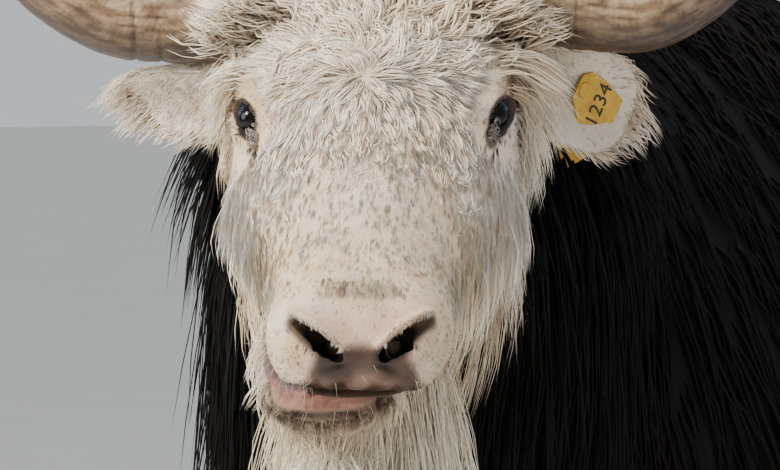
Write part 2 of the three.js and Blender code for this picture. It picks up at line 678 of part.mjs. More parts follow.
function tagSolid(face, grow) {
  const { point, hollow, width, seat } = earFrame(LEFT);
  const basis = new THREE.Matrix4().makeBasis(width, point.clone().negate(), hollow);
  const centre = seat.clone().addScaledVector(point, TAG.d).addScaledVector(width, TAG.rise);
  const placed = (form) => solidOf(form.applyMatrix4(basis).translate(...centre));
  const behind = TAG.thick / 2 - TAG.stand;
  const [set, stand] = face === "front" ? [TAG_FRONT, TAG.stand] : [TAG_BACK, behind];
  const plate = placed(tagPlate(set.longer, grow).rotateX(set.tip).rotateZ(set.turn).translate(0, 0, stand));
  if (face === "back") return plate;
  const reach = TAG.stand - behind - TAG.thick / 2 - GAP + grow;
  const stem = new THREE.CylinderGeometry(TAG.stem + grow, TAG.stem + grow, reach, 10)
    .rotateX(Math.PI / 2)
    .translate(0, 0, TAG.stand - reach / 2);
  const button = new THREE.CylinderGeometry(
    TAG_BUTTON.radius + grow,
    TAG_BUTTON.radius + grow,
    TAG_BUTTON.thick + 2 * grow,
    12,
  )
    .rotateX(Math.PI / 2)
    .translate(0, 0, TAG.stand + TAG.thick / 2);
  return joined([plate, placed(stem), placed(button)]);
}

// Legs in level rings: each has its height, its place fore and aft, and its half widths across and along
function legLoft(rings, x, y) {
  return new Loft(rings, ({ z, ahead, across, along }, angle, grow) => {
    const [c, s] = [Math.cos(angle), Math.sin(angle)];
    const flat = across > 0 ? grow : 0;
    return new THREE.Vector3(x + (across + flat) * c, y + ahead + (along + flat) * s, z);
  });
}
const SHANK_BOTTOM = HOOF_HEIGHT + GAP;
const FRONT_LEG = [
  { z: 705, ahead: -398, across: 0, along: 0 },
  { z: 690, ahead: -398, across: 52, along: 78 },
  { z: 590, ahead: -395, across: 72, along: 94 },
  { z: 480, ahead: -398, across: 62, along: 74 },
  { z: 385, ahead: -404, across: 48, along: 54 },
  { z: 330, ahead: -412, across: 48, along: 53 },
  { z: 275, ahead: -405, across: 39, along: 42 },
  { z: 195, ahead: -399, across: 34, along: 36 },
  { z: 132, ahead: -399, across: 43, along: 47 },
  { z: 96, ahead: -411, across: 39, along: 43 },
  { z: SHANK_BOTTOM, ahead: -424, across: 46, along: 52 },
  { z: SHANK_BOTTOM, ahead: -424, across: 0, along: 0 },
];
const HIND_LEG = [
  { z: 845, ahead: 556, across: 0, along: 0 },
  { z: 825, ahead: 552, across: 74, along: 120 },
  { z: 715, ahead: 546, across: 98, along: 150 },
  { z: 610, ahead: 560, across: 84, along: 118 },
  { z: 525, ahead: 592, across: 62, along: 84 },
  { z: 455, ahead: 627, across: 48, along: 64 },
  { z: 402, ahead: 633, across: 42, along: 55 },
  { z: 330, ahead: 621, across: 36, along: 42 },
  { z: 205, ahead: 604, across: 35, along: 38 },
  { z: 137, ahead: 596, across: 44, along: 48 },
  { z: 98, ahead: 583, across: 40, along: 43 },
  { z: SHANK_BOTTOM, ahead: 568, across: 46, along: 52 },
  { z: SHANK_BOTTOM, ahead: 568, across: 0, along: 0 },
];

// The dewclaws stand behind each fetlock
const DEWCLAW = { apart: 17, across: 11, along: 13, high: 17, lean: -0.35, below: 12, sunk: 2 };
function dewclaw(x, y, z, grow) {
  const form = new THREE.SphereGeometry(1, 6, 4);
  form.scale(DEWCLAW.across + grow, DEWCLAW.along + grow, DEWCLAW.high + grow);
  return solidOf(form.rotateX(DEWCLAW.lean).translate(x, y, z));
}

function legSolid(name, grow) {
  const front = name.startsWith("front");
  const side = name.endsWith("left") ? LEFT : RIGHT;
  const rings = front ? FRONT_LEG : HIND_LEG;
  const x = side * (front ? FRONT_TRACK : HIND_TRACK);
  const pieces = [legLoft(rings, x, STEP[name]).solid(12, grow)];
  const fetlock = rings[rings.length - 4];
  const heel = STEP[name] + fetlock.ahead + fetlock.along - DEWCLAW.sunk;
  [RIGHT, LEFT].forEach((hand) => {
    pieces.push(dewclaw(x + hand * DEWCLAW.apart, heel, fetlock.z - DEWCLAW.below, grow));
  });
  return joined(pieces);
}

// One of the two claws of a hoof: flat on the floor, blunt at the toe and straight on its inner side
const CLAW = { half: 23.5, along: 58, cleft: 2.5 };
function clawSolid(x, y, side) {
  const rings = [
    { z: 0, across: 0, along: 0, shift: -14 },
    { z: 0, across: CLAW.half, along: CLAW.along, shift: -14 },
    { z: 26, across: CLAW.half, along: CLAW.along * 0.93, shift: -9 },
    { z: HOOF_HEIGHT, across: CLAW.half * 0.9, along: CLAW.along * 0.8, shift: 0 },
    { z: HOOF_HEIGHT, across: 0, along: 0, shift: 0 },
  ];
  const claw = new Loft(rings, ({ z, across, along, shift }, angle) => {
    const [c, s] = [boxy(Math.cos(angle), 0.75), boxy(Math.sin(angle), 0.9)];
    const inner = c * side < 0;
    const toe = s < 0 ? 1 - 0.42 * s * s : 1;
    const reach = inner ? 1 : toe;
    const middle = x + side * (CLAW.half + CLAW.cleft);
    return new THREE.Vector3(middle + c * across * reach, y + shift + s * along, z);
  });
  return claw.solid(12);
}

// The tail: a dock that hangs from the croup, covered to its tip in long locks
const TAIL = new Loft(
  [
    { y: 740, z: 1034, across: 0, deep: 0 },
    { y: 762, z: 1030, across: 30, deep: 26 },
    { y: 806, z: 985, across: 34, deep: 30 },
    { y: 832, z: 900, across: 36, deep: 32 },
    { y: 842, z: 780, across: 42, deep: 36 },
    { y: 842, z: 650, across: 46, deep: 38 },
    { y: 838, z: 530, across: 34, deep: 28 },
    { y: 836, z: 470, across: 0, deep: 0 },
  ],
  ({ y, z, across, deep }, angle, grow) => {
    const [wide, thick] = [across > 0 ? across + grow : 0, across > 0 ? deep + grow : 0];
    return new THREE.Vector3(wide * Math.cos(angle), y + thick * Math.sin(angle), z);
  },
);
const TAIL_TIERS = [
  { t: 2.6, count: 5, length: 250, width: 60 },
  { t: 3.8, count: 5, length: 280, width: 72 },
  { t: 5.0, count: 6, length: 300, width: 66 },
];

function tailSolid(grow) {
  const draw = seeded(101);
  const pieces = [TAIL.solid(10, grow)];
  TAIL_TIERS.forEach(({ t, count, length, width }, tier) => {
    for (let i = 0; i < count; i += 1) {
      const angle = ((i + tier * 0.5) / count) * 2 * Math.PI;
      if (tier === 0 && Math.sin(angle) < -0.2) continue;
      const bend = new THREE.Vector3(24 * (draw() - 0.5), 18 * draw(), 0);
      const vary = 0.85 + 0.3 * draw();
      const sizes = { length: length * vary, width, thick: 18, lift: 20, sink: 15, bend };
      pieces.push(lockOn(TAIL, t, angle, { fall: DOWN, ...sizes }, grow));
    }
  });
  return joined(pieces);
}

// Assembly: each piece is cut clear of the ones that it meets
const LEGS = Object.keys(STEP);
const COLOURS = {
  white: { color: 0xd9d0c0, roughness: 0.9 },
  black: { color: 0x14120f, roughness: 0.85 },
  horn: { color: 0x8a6f52, roughness: 0.6 },
  hoof: { color: 0x2b2622, roughness: 0.55 },
  eye: { color: 0x080606, roughness: 0.08 },
  tooth: { color: 0xcfc4a6, roughness: 0.4 },
  tag: { color: 0xd9a520, roughness: 0.5 },
};
const materials = Object.fromEntries(
  Object.entries(COLOURS).map(([name, look]) => [name, new THREE.MeshStandardMaterial(look)]),
);

const yak = new THREE.Group();

function add(name, solid, look) {
  const made = largest(solid).getMesh();
  const count = made.vertProperties.length / made.numProp;
  const positions = new Float32Array(count * 3);
  for (let i = 0; i < count; i += 1) {
    positions.set(made.vertProperties.subarray(i * made.numProp, i * made.numProp + 3), i * 3);
  }
  const geometry = new THREE.BufferGeometry()
    .setAttribute("position", new THREE.BufferAttribute(positions, 3))
    .setIndex(new THREE.BufferAttribute(made.triVerts, 1));
  geometry.computeVertexNormals();
  const mesh = new THREE.Mesh(geometry, materials[look]);
  mesh.name = name;
  yak.add(mesh);
}

function cutBy(solid, cutters) {
  return cutters.reduce((left, cutter) => left.subtract(cutter), solid);
}

const headCutter = headSolid(GAP);
const jawCutter = jawSolid(GAP);
const neckCutter = neckSolid(GAP);
const tailCutter = tailSolid(GAP);
const sides = { left: LEFT, right: RIGHT };
const earCutters = Object.values(sides).map((side) => earSolid(side, GAP));
const hornCutters = Object.values(sides).map((side) => hornSolid(side, GAP));
const eyeCutters = Object.values(sides).map((side) => eyeball(side, GAP));
const tagCutters = ["front", "back"].map((face) => tagSolid(face, GAP));
const legCutters = LEGS.map((name) => legSolid(name, GAP));

add(
  "head",
  cutBy(headSolid(0), [...earCutters, ...hornCutters, ...eyeCutters, faceOpenings(), ...tagCutters]),
  "white",
);
add("jaw", cutBy(jawSolid(0), [headCutter]), "white");
add("teeth", cutBy(teethSolid(), [jawCutter, headCutter]), "tooth");
Object.entries(sides).forEach(([name, side]) => {
  add("eye_" + name, eyeball(side, 0), "eye");
  add("horn_" + name, hornSolid(side, 0), "horn");
  add("ear_" + name, cutBy(earSolid(side, 0), [...hornCutters, ...tagCutters]), "white");
});
add("tag_front", tagSolid("front", 0), "tag");
add("tag_back", tagSolid("back", 0), "tag");
add("neck", cutBy(neckSolid(0), [headCutter, jawCutter, ...earCutters, ...hornCutters]), "black");
Object.entries(sides).forEach(([name, side]) => {
  const cutters = [neckCutter, jawCutter, tailCutter, ...legCutters];
  add("trunk_" + name, cutBy(trunkHalf(side, 0), cutters), "black");
});
add("tail", tailSolid(0), "black");
LEGS.forEach((name) => {
  const front = name.startsWith("front");
  const x = (name.endsWith("left") ? LEFT : RIGHT) * (front ? FRONT_TRACK : HIND_TRACK);
  const rings = front ? FRONT_LEG : HIND_LEG;
  add("leg_" + name, cutBy(legSolid(name, 0), name.startsWith("front") ? [neckCutter] : []), "black");
  const y = STEP[name] + rings[rings.length - 1].ahead;
  [RIGHT, LEFT].forEach((side) => {
    const place = side * x > 0 ? "outer" : "inner";
    add("hoof_" + name + "_" + place, clawSolid(x, y, side), "hoof");
  });
});

// The origin goes on the floor under the middle of the whole animal
const box = new THREE.Box3().setFromObject(yak);
const middle = box.getCenter(new THREE.Vector3());
yak.position.set(-middle.x, -middle.y, 0);

export default yak;
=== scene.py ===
"""A life-size domestic yak bull with a white head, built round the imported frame."""

from __future__ import annotations

import logging
import math
from collections.abc import Callable, Sequence
from dataclasses import dataclass, field
from enum import Enum

import bpy
import numpy as np
from mathutils import Matrix, Vector
from mathutils.kdtree import KDTree

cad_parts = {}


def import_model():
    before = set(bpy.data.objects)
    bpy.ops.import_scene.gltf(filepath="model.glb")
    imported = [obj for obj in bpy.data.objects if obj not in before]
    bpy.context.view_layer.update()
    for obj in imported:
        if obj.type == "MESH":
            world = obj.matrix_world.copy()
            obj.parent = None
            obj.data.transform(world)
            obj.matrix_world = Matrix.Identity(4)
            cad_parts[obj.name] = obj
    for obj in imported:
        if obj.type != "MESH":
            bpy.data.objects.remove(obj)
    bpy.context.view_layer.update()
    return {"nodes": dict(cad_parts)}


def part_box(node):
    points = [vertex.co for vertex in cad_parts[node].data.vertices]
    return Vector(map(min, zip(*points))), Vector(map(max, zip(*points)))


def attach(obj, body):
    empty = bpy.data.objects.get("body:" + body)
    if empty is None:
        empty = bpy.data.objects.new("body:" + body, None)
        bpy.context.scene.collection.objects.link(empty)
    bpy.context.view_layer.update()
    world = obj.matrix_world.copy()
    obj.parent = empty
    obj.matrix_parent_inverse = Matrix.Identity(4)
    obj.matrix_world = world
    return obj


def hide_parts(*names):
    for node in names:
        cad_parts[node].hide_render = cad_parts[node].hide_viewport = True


LOG = logging.getLogger("yak")
Array = np.ndarray
Shape = Callable[..., Array]
Place = tuple[float, float, float]
Colour = tuple[float, float, float]
MM = 0.001
DOWN = np.array([0.0, 0.0, -1.0])
UP = np.array([0.0, 0.0, 1.0])
LEFT, RIGHT = 1, -1


def unit(v: Array) -> Array:
    """Scale each vector to length one."""
    return v / np.maximum(np.linalg.norm(v, axis=-1, keepdims=True), 1e-9)


def ease(low: float, high: float, x: Array) -> Array:
    """Run from 0 at low to 1 at high with soft ends; low may be above high."""
    t = np.clip((x - low) / (high - low), 0.0, 1.0)
    return t * t * (3.0 - 2.0 * t)


def mix(a: Array, b: Array, t: Array) -> Array:
    """Go from a to b by the share t."""
    return a + (b - a) * t


def held(x: Array) -> Array:
    """Hold values between 0 and 1."""
    return np.clip(x, 0.0, 1.0)


def band(x: Array, low: float, full: float, fade: float, high: float) -> Array:
    """Rise from 0 at low to 1 at full, and fall again from fade to high."""
    return ease(low, full, x) * ease(high, fade, x)


def noise(points: Array, scale: float, seed: int) -> Array:
    """Smooth random values from -1 to 1.

    Args:
        points: Places, one row each.
        scale: Distance between two independent values.
        seed: Picks the pattern.

    Returns:
        One value for each place.
    """
    q = points / scale + 1000.0
    cell = np.floor(q).astype(np.int64)
    f = q - cell
    f = f * f * (3.0 - 2.0 * f)
    total = np.zeros(len(points))
    for corner in range(8):
        o = np.array([corner & 1, corner >> 1 & 1, corner >> 2 & 1])
        c = cell + o
        h = (c[:, 0] * 73856093) ^ (c[:, 1] * 19349663) ^ (c[:, 2] * 83492791) ^ (seed * 2654435761)
        h = (h ^ (h >> 13)) * 1274126177 & 0x7FFFFFFF
        weight = np.prod(np.where(o == 1, f, 1.0 - f), axis=1)
        total += weight * ((h >> 7) % 65536 / 32767.5 - 1.0)
    return total


class Table:
    """Sizes along a form, read smoothly between its stations."""

    def __init__(self, rows: Sequence[tuple[float, ...]]) -> None:
        """Keep the rows, whose first number is the place along the form.

        Args:
            rows: Stations in order, rising or falling along the form.
        """
        data = np.array(sorted(rows), float)
        self.x, self.y = data[:, 0], data[:, 1:]
        step = np.diff(self.x)[:, None]
        slope = np.diff(self.y, axis=0) / step
        self.m = np.zeros_like(self.y)
        a, b = slope[:-1], slope[1:]
        w1, w2 = 2 * step[1:] + step[:-1], step[1:] + 2 * step[:-1]
        with np.errstate(divide="ignore", invalid="ignore"):
            mean = (w1 + w2) / (w1 / a + w2 / b)
        self.m[1:-1] = np.where(a * b > 0, mean, 0.0)
        self.m[0], self.m[-1] = slope[0], slope[-1]

    def at(self, x: Array) -> list[Array]:
        """Read every size at a place along the form.

        Args:
            x: Places, in any array shape.

        Returns:
            One array of that shape for each size.
        """
        x = np.clip(np.asarray(x, float), self.x[0] + 0.05, self.x[-1] - 0.05)
        i = np.clip(np.searchsorted(self.x, x) - 1, 0, len(self.x) - 2)
        step = self.x[i + 1] - self.x[i]
        t = (x - self.x[i]) / step
        h00, h10 = (1 + 2 * t) * (1 - t) ** 2, t * (1 - t) ** 2
        h01, h11 = t * t * (3 - 2 * t), t * t * (t - 1)
        y, m = self.y, self.m
        return [
            h00 * y[i, k] + h10 * step * m[i, k] + h01 * y[i + 1, k] + h11 * step * m[i + 1, k]
            for k in range(y.shape[1])
        ]

    def beyond(self, x: Array) -> Array:
        """Tell how far a place lies past either end of the form."""
        return np.maximum(np.maximum(self.x[0] - x, x - self.x[-1]), 0.0)


def soft_min(a: Array, b: Array, k: float | Array) -> Array:
    """Join two distance fields with a fillet about k wide."""
    h = np.maximum(k - np.abs(a - b), 0.0) / k
    return np.minimum(a, b) - h * h * k * 0.25


def ellipsoid(place: Sequence[float], radii: Sequence[float], turn: Array | None = None) -> Shape:
    """Make the distance field of an ellipsoid.

    Args:
        place: Its centre.
        radii: Its three half axes.
        turn: Rows are the directions of the half axes, or None for the frame's own.

    Returns:
        A function of three coordinate arrays.
    """
    basis = np.eye(3) if turn is None else turn

    def distance(a: Array, b: Array, c: Array) -> Array:
        """Measure from the ellipsoid, closely near it."""
        d = (a - place[0], b - place[1], c - place[2])
        q = [sum(basis[k][j] * d[j] for j in range(3)) for k in range(3)]
        k0 = np.sqrt(sum((q[k] / radii[k]) ** 2 for k in range(3))) + 1e-6
        k1 = np.sqrt(sum((q[k] / radii[k] ** 2) ** 2 for k in range(3))) + 1e-9
        return k0 * (k0 - 1.0) / k1

    return distance


def tube(path: Sequence[tuple[float, ...]]) -> Shape:
    """Make the distance field of a tube through points, each with its own radius.

    Args:
        path: Rows of three coordinates and a radius.

    Returns:
        A function of three coordinate arrays.
    """

    def distance(a: Array, b: Array, c: Array) -> Array:
        """Measure from the nearest run of the tube."""
        best: Array | None = None
        for p, q in zip(path[:-1], path[1:]):
            run = [q[k] - p[k] for k in range(3)]
            span = sum(r * r for r in run)
            t = ((a - p[0]) * run[0] + (b - p[1]) * run[1] + (c - p[2]) * run[2]) / span
            t = np.clip(t, 0.0, 1.0)
            away = (a - p[0] - t * run[0]) ** 2 + (b - p[1] - t * run[1]) ** 2 + (c - p[2] - t * run[2]) ** 2
            d = np.sqrt(away) - (p[3] + (q[3] - p[3]) * t)
            best = d if best is None else np.minimum(best, d)
        return best

    return distance


def largest(vertices: Array, quads: Array) -> tuple[Array, Array]:
    """Keep only the connected surface with the most vertices.

    Args:
        vertices: Places of all surfaces.
        quads: Their faces.

    Returns:
        The kept vertices, and the quads renumbered.
    """
    label = np.arange(len(vertices))
    ends = np.concatenate([quads[:, [0, 1]], quads[:, [1, 2]], quads[:, [2, 3]]])
    while True:
        low = np.minimum(label[ends[:, 0]], label[ends[:, 1]])
        fresh = label.copy()
        np.minimum.at(fresh, ends[:, 0], low)
        np.minimum.at(fresh, ends[:, 1], low)
        fresh = fresh[fresh]
        if np.array_equal(fresh, label):
            break
        label = fresh
    keep = label == np.bincount(label).argmax()
    number = np.cumsum(keep) - 1
    return vertices[keep], number[quads[keep[quads[:, 0]]]]


class Canvas:
    """A block of space that holds a distance field, and is turned into a mesh at its zero level."""

    def __init__(self, axes: Sequence[Array]) -> None:
        """Start with empty space.

        Args:
            axes: Rising coordinates of the grid lines along each of the three directions.
        """
        self.axes = [np.asarray(a, float) for a in axes]
        self.value = np.full([len(a) for a in self.axes], 1e3, np.float32)

    def work(
        self,
        shape: Shape,
        k: float | Shape = 1.0,
        box: Sequence[tuple[float, float]] | None = None,
        cut: bool = False,
    ) -> None:
        """Add a shape to the field or cut it out.

        Args:
            shape: Distance field of three coordinate arrays.
            k: Width of the fillet, or a function of the coordinates that gives it.
            box: Low and high limits of the part of the block that it changes.
            cut: Whether the shape is taken away.
        """
        limits = box or [(a[0], a[-1]) for a in self.axes]
        span = tuple(
            slice(int(np.searchsorted(a, low)), int(np.searchsorted(a, high, "right")))
            for a, (low, high) in zip(self.axes, limits)
        )
        lines = [a[s] for a, s in zip(self.axes, span)]
        grid = (lines[0][:, None, None], lines[1][None, :, None], lines[2][None, None, :])
        made = shape(*grid)
        width = k(*grid) if callable(k) else k
        old = self.value[span]
        self.value[span] = -soft_min(-old, made, width) if cut else soft_min(old, made, width)

    def settle(self, nudge: float = 0.05, rounds: int = 12) -> None:
        """Fill the spots where two sheets would share an edge or a corner.

        Args:
            nudge: Depth given to a grid point that becomes solid.
            rounds: Most passes over the block.
        """
        v = self.value
        corners = [(i, j, k) for i in (0, 1) for j in (0, 1) for k in (0, 1)]
        for _ in range(rounds):
            inside = v < 0
            fill = np.zeros(v.shape, bool)
            for axis in range(3):
                p, q = [k for k in range(3) if k != axis]

                def part(i: int, j: int) -> tuple[slice, ...]:
                    """Give the block's part that starts i and j on, across the axis."""
                    cut = [slice(None)] * 3
                    cut[p] = slice(i, v.shape[p] - 1 + i)
                    cut[q] = slice(j, v.shape[q] - 1 + j)
                    return tuple(cut)

                a, b, c, d = (inside[part(i, j)] for i, j in ((0, 0), (1, 0), (0, 1), (1, 1)))
                crossed = (a == d) & (b == c) & (a != b)
                for i, j in ((0, 0), (1, 0), (0, 1), (1, 1)):
                    fill[part(i, j)] |= crossed
            spans = {c: tuple(slice(c[k], v.shape[k] - 1 + c[k]) for k in range(3)) for c in corners}
            blocks = {c: inside[span] for c, span in spans.items()}
            count = sum(b.astype(np.int8) for b in blocks.values())
            for c in corners[:4]:
                far = tuple(1 - k for k in c)
                pair = (blocks[c] == blocks[far]) & (((count == 2) & blocks[c]) | ((count == 6) & ~blocks[c]))
                for span in spans.values():
                    fill[span] |= pair
            fill &= ~inside
            if not fill.any():
                break
            v[fill] = -nudge

    def mesh(self) -> tuple[Array, Array]:
        """Polygonise the zero level by surface nets, and keep its largest closed surface.

        Returns:
            Vertices and the quads that join them, facing outwards.
        """
        self.settle()
        v = self.value
        inside = v < 0
        corners = [(i, j, k) for i in (0, 1) for j in (0, 1) for k in (0, 1)]
        nx, ny, nz = v.shape
        blocks = (inside[i : nx - 1 + i, j : ny - 1 + j, k : nz - 1 + k] for i, j, k in corners)
        count = sum(block.astype(np.int8) for block in blocks)
        cells = np.argwhere((count > 0) & (count < 8))
        number = np.full((nx - 1, ny - 1, nz - 1), -1, np.int32)
        number[tuple(cells.T)] = np.arange(len(cells))
        total, hits = np.zeros((len(cells), 3)), np.zeros(len(cells))
        for axis in range(3):
            others = [k for k in range(3) if k != axis]
            for i in (0, 1):
                for j in (0, 1):
                    start = cells.copy()
                    start[:, others[0]] += i
                    start[:, others[1]] += j
                    end = start.copy()
                    end[:, axis] += 1
                    a, b = v[tuple(start.T)], v[tuple(end.T)]
                    crossed = (a < 0) != (b < 0)
                    t = np.where(crossed, a / np.where(crossed, a - b, 1.0), 0.0)
                    for k in range(3):
                        low, high = self.axes[k][start[:, k]], self.axes[k][end[:, k]]
                        total[:, k] += np.where(crossed, low + (high - low) * t, 0.0)
                    hits += crossed
        vertices = total / hits[:, None]
        quads = []
        for axis in range(3):
            others = [k for k in range(3) if k != axis]
            low = [slice(1, n - 1) for n in v.shape]
            high = list(low)
            low[axis], high[axis] = slice(0, v.shape[axis] - 1), slice(1, v.shape[axis])
            a, b = inside[tuple(low)], inside[tuple(high)]
            where = np.argwhere(a != b)
            edge = where.copy()
            edge[:, others[0]] += 1
            edge[:, others[1]] += 1
            around = []
            for i, j in ((0, 0), (1, 0), (1, 1), (0, 1)):
                c = edge.copy()
                c[:, others[0]] -= i
                c[:, others[1]] -= j
                around.append(number[tuple(c.T)])
            quad = np.stack(around, axis=1)
            flip = a[tuple(where.T)] == (axis == 1)
            quad[flip] = quad[flip][:, ::-1]
            quads.append(quad)
        return largest(vertices, np.concatenate(quads))


def linked(name: str, data: bpy.types.ID) -> bpy.types.Object:
    """Make an object of some data and link it to the scene."""
    made = bpy.data.objects.new(name, data)
    bpy.context.scene.collection.objects.link(made)
    return made


def smooth(mesh: bpy.types.Mesh) -> None:
    """Shade every face of a mesh smoothly."""
    mesh.polygons.foreach_set("use_smooth", np.full(len(mesh.polygons), True))


def mesh_object(name: str, vertices: Array, faces: Array) -> bpy.types.Object:
    """Make a smooth object from arrays.

    Args:
        name: The object's name.
        vertices: Places in the row frame, in metres.
        faces: Corner numbers, one row for each face.

    Returns:
        The new object, linked to the scene.
    """
    mesh = bpy.data.meshes.new(name)
    mesh.vertices.add(len(vertices))
    mesh.vertices.foreach_set("co", np.asarray(vertices, np.float32).ravel())
    mesh.loops.add(faces.size)
    mesh.loops.foreach_set("vertex_index", faces.astype(np.int32).ravel())
    mesh.polygons.add(len(faces))
    mesh.polygons.foreach_set("loop_start", np.arange(0, faces.size, faces.shape[1], dtype=np.int32))
    smooth(mesh)
    mesh.update(calc_edges=True)
    return linked(name, mesh)


def set_attribute(obj: bpy.types.Object, name: str, values: Array) -> None:
    """Store a value at each vertex: a number, or a colour of three numbers."""
    plain = values.ndim == 1
    kind, key = ("FLOAT", "value") if plain else ("FLOAT_COLOR", "color")
    layer = obj.data.attributes.new(name, kind, "POINT")
    data = values if plain else np.concatenate([values, np.ones((len(values), 1))], axis=1)
    layer.data.foreach_set(key, data.astype(np.float32).ravel())


def read(items: bpy.types.bpy_prop_collection, key: str, width: int = 1) -> Array:
    """Read one property of all vertices, faces or corners of a mesh.

    Args:
        items: What is read.
        key: The property's name.
        width: How many numbers it has; places and directions are the only ones that aren't whole.

    Returns:
        One number, or one row of numbers, for each item.
    """
    values = np.zeros(len(items) * width, np.float32 if key in ("co", "vector") else np.int32)
    items.foreach_get(key, values)
    return values if width == 1 else values.reshape(-1, width)


def evaluated(obj: bpy.types.Object) -> bpy.types.Mesh:
    """Make a plain mesh of an object with its modifiers."""
    graph = bpy.context.evaluated_depsgraph_get()
    return bpy.data.meshes.new_from_object(obj.evaluated_get(graph), depsgraph=graph)


def baked(obj: bpy.types.Object) -> None:
    """Turn an object's modifiers into its plain mesh."""
    made = evaluated(obj)
    obj.modifiers.clear()
    obj.data = made


def capped(rings: int, sides: int) -> Array:
    """List the triangles between closed rings of vertices, with a fan at either end.

    Args:
        rings: How many rings there are.
        sides: Vertices in each ring; the two end points follow the last one.

    Returns:
        Corner numbers.
    """
    i, j = np.meshgrid(np.arange(rings - 1), np.arange(sides), indexing="ij")
    a, b = i * sides + j, i * sides + (j + 1) % sides
    quads = np.stack([a, b, b + sides, a + sides], axis=-1).reshape(-1, 4)
    spot, last = np.arange(sides), (rings - 1) * sides
    after = (spot + 1) % sides
    near = np.stack([spot, np.full(sides, rings * sides), after], axis=1)
    far = np.stack([last + spot, last + after, np.full(sides, rings * sides + 1)], axis=1)
    return np.concatenate([quads[:, [0, 1, 2]], quads[:, [0, 2, 3]], near, far])


def outward(vertices: Array, tris: Array) -> Array:
    """Turn every triangle round if the closed form is inside out."""
    a, b, c = (vertices[tris[:, k]] for k in range(3))
    volume = np.einsum("ij,ij->i", a, np.cross(b, c)).sum()
    return tris[:, ::-1] if volume < 0 else tris


def turned(a: Array, b: Array, angle: float) -> tuple[Array, Array]:
    """Turn two coordinates by an angle in radians, from the first towards the second."""
    c, s = math.cos(angle), math.sin(angle)
    return a * c - b * s, a * s + b * c


@dataclass
class Bearings:
    """The head's own directions, and the way from the drawing frame (mm) to the row frame (m)."""

    eye_midpoint: Place = (228.0, -1005.0, 1100.0)
    turn: float = 36.5
    slope: float = 38.0
    roll: float = 1.2
    shift: Array = field(default_factory=lambda: np.zeros(3))

    def __post_init__(self) -> None:
        """Work out the directions and the shift from the frame's own eyes."""
        t, f, r = (math.radians(a) for a in (self.turn, self.slope, self.roll))
        self.forward = np.array([math.sin(t), -math.cos(t), 0.0])
        level = np.array([math.cos(t), math.sin(t), 0.0])
        self.left = level * math.cos(r) + UP * math.sin(r)
        self.noseward = self.forward * math.cos(f) - UP * math.sin(f)
        self.browward = unit(np.cross(self.noseward, self.left))
        self.rise = unit(np.cross(self.forward, self.left))
        self.basis = np.stack([self.noseward, self.left, self.browward])
        self.inverse = np.linalg.inv(self.basis)
        self.origin = np.array(self.eye_midpoint)
        found = [np.array(corner) for eye in ("eye_left", "eye_right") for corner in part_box(eye)]
        self.shift = np.mean(found, axis=0) / MM - self.origin

    def face(self, points: Array) -> Array:
        """Read drawing places as along the nose, to the left and out of the face."""
        return (points - self.origin) @ self.inverse

    def place(self, face_points: Array) -> Array:
        """Turn face coordinates into drawing places."""
        return np.asarray(face_points) @ self.basis + self.origin

    def row(self, points: Array) -> Array:
        """Turn drawing places in mm into the row frame in metres."""
        return (points + self.shift) * MM

    def drawing(self, points: Array) -> Array:
        """Turn places of the row frame into the drawing's."""
        return points / MM - self.shift


# Head, by place along the nose: top, widest level, bottom, half width, jowl and bridge.
HEAD = Table(
    [
        (-192, -39, -40, -41, 0, 0, 0.12),
        (-184, 26, -40, -96, 64, 0.1, 0.12),
        (-150, 54, -38, -140, 100, 0.1, 0.12),
        (-105, 62, -36, -178, 115, 0.16, 0.12),
        (-55, 62, -36, -190, 119, 0.2, 0.12),
        (0, 56, -36, -178, 119, 0.2, 0.16),
        (50, 46, -54, -152, 122, 0.16, 0.26),
        (100, 37, -56, -126, 107, 0.12, 0.28),
        (150, 30, -44, -100, 82, 0.08, 0.2),
        (200, 24, -34, -80, 73, 0.04, 0.08),
        (236, 14, -30, -68, 71, 0, 0.02),
        (260, -1, -32, -62, 63, 0, 0),
        (273, -15, -36, -56, 44, 0, 0),
        (278, -36, -38, -40, 0, 0, 0),
    ]
)
# Lower jaw, by place along the nose: top, widest level, bottom and half width.
JAW = Table(
    [
        (-62, -130, -140, -150, 0),
        (-46, -100, -140, -200, 84),
        (0, -90, -132, -212, 98),
        (60, -80, -118, -194, 94),
        (120, -76, -110, -170, 74),
        (172, -76, -106, -151, 56),
        (212, -76, -104, -140, 51),
        (238, -74, -98, -122, 43),
        (250, -78, -92, -106, 27),
        (254, -88, -90, -92, 0),
    ]
)
# Trunk, by place along the body: top, widest level, bottom, half width and how the top narrows.
TRUNK = Table(
    [
        (-668, 771, 770, 769, 0, 0),
        (-645, 900, 770, 640, 92, 0.1),
        (-590, 1020, 760, 560, 165, 0.2),
        (-495, 1160, 755, 512, 226, 0.38),
        (-385, 1248, 750, 488, 252, 0.48),
        (-265, 1262, 745, 476, 266, 0.48),
        (-130, 1220, 740, 470, 280, 0.4),
        (30, 1158, 735, 470, 292, 0.26),
        (210, 1122, 745, 482, 294, 0.2),
        (375, 1122, 775, 516, 284, 0.24),
        (520, 1126, 800, 570, 264, 0.3),
        (645, 1098, 815, 610, 232, 0.3),
        (738, 1034, 830, 670, 168, 0.2),
        (785, 950, 840, 760, 78, 0),
        (796, 860, 850, 840, 0, 0),
    ]
)
# Neck: the places of its middle line, half width and half height.
NECK = (
    (0, -340, 935, 0, 0),
    (0, -390, 942, 150, 205),
    (3, -495, 964, 180, 238),
    (18, -608, 996, 178, 218),
    (48, -712, 1034, 172, 190),
    (88, -796, 1068, 164, 164),
    (124, -850, 1094, 136, 128),
    (150, -880, 1110, 0, 0),
)
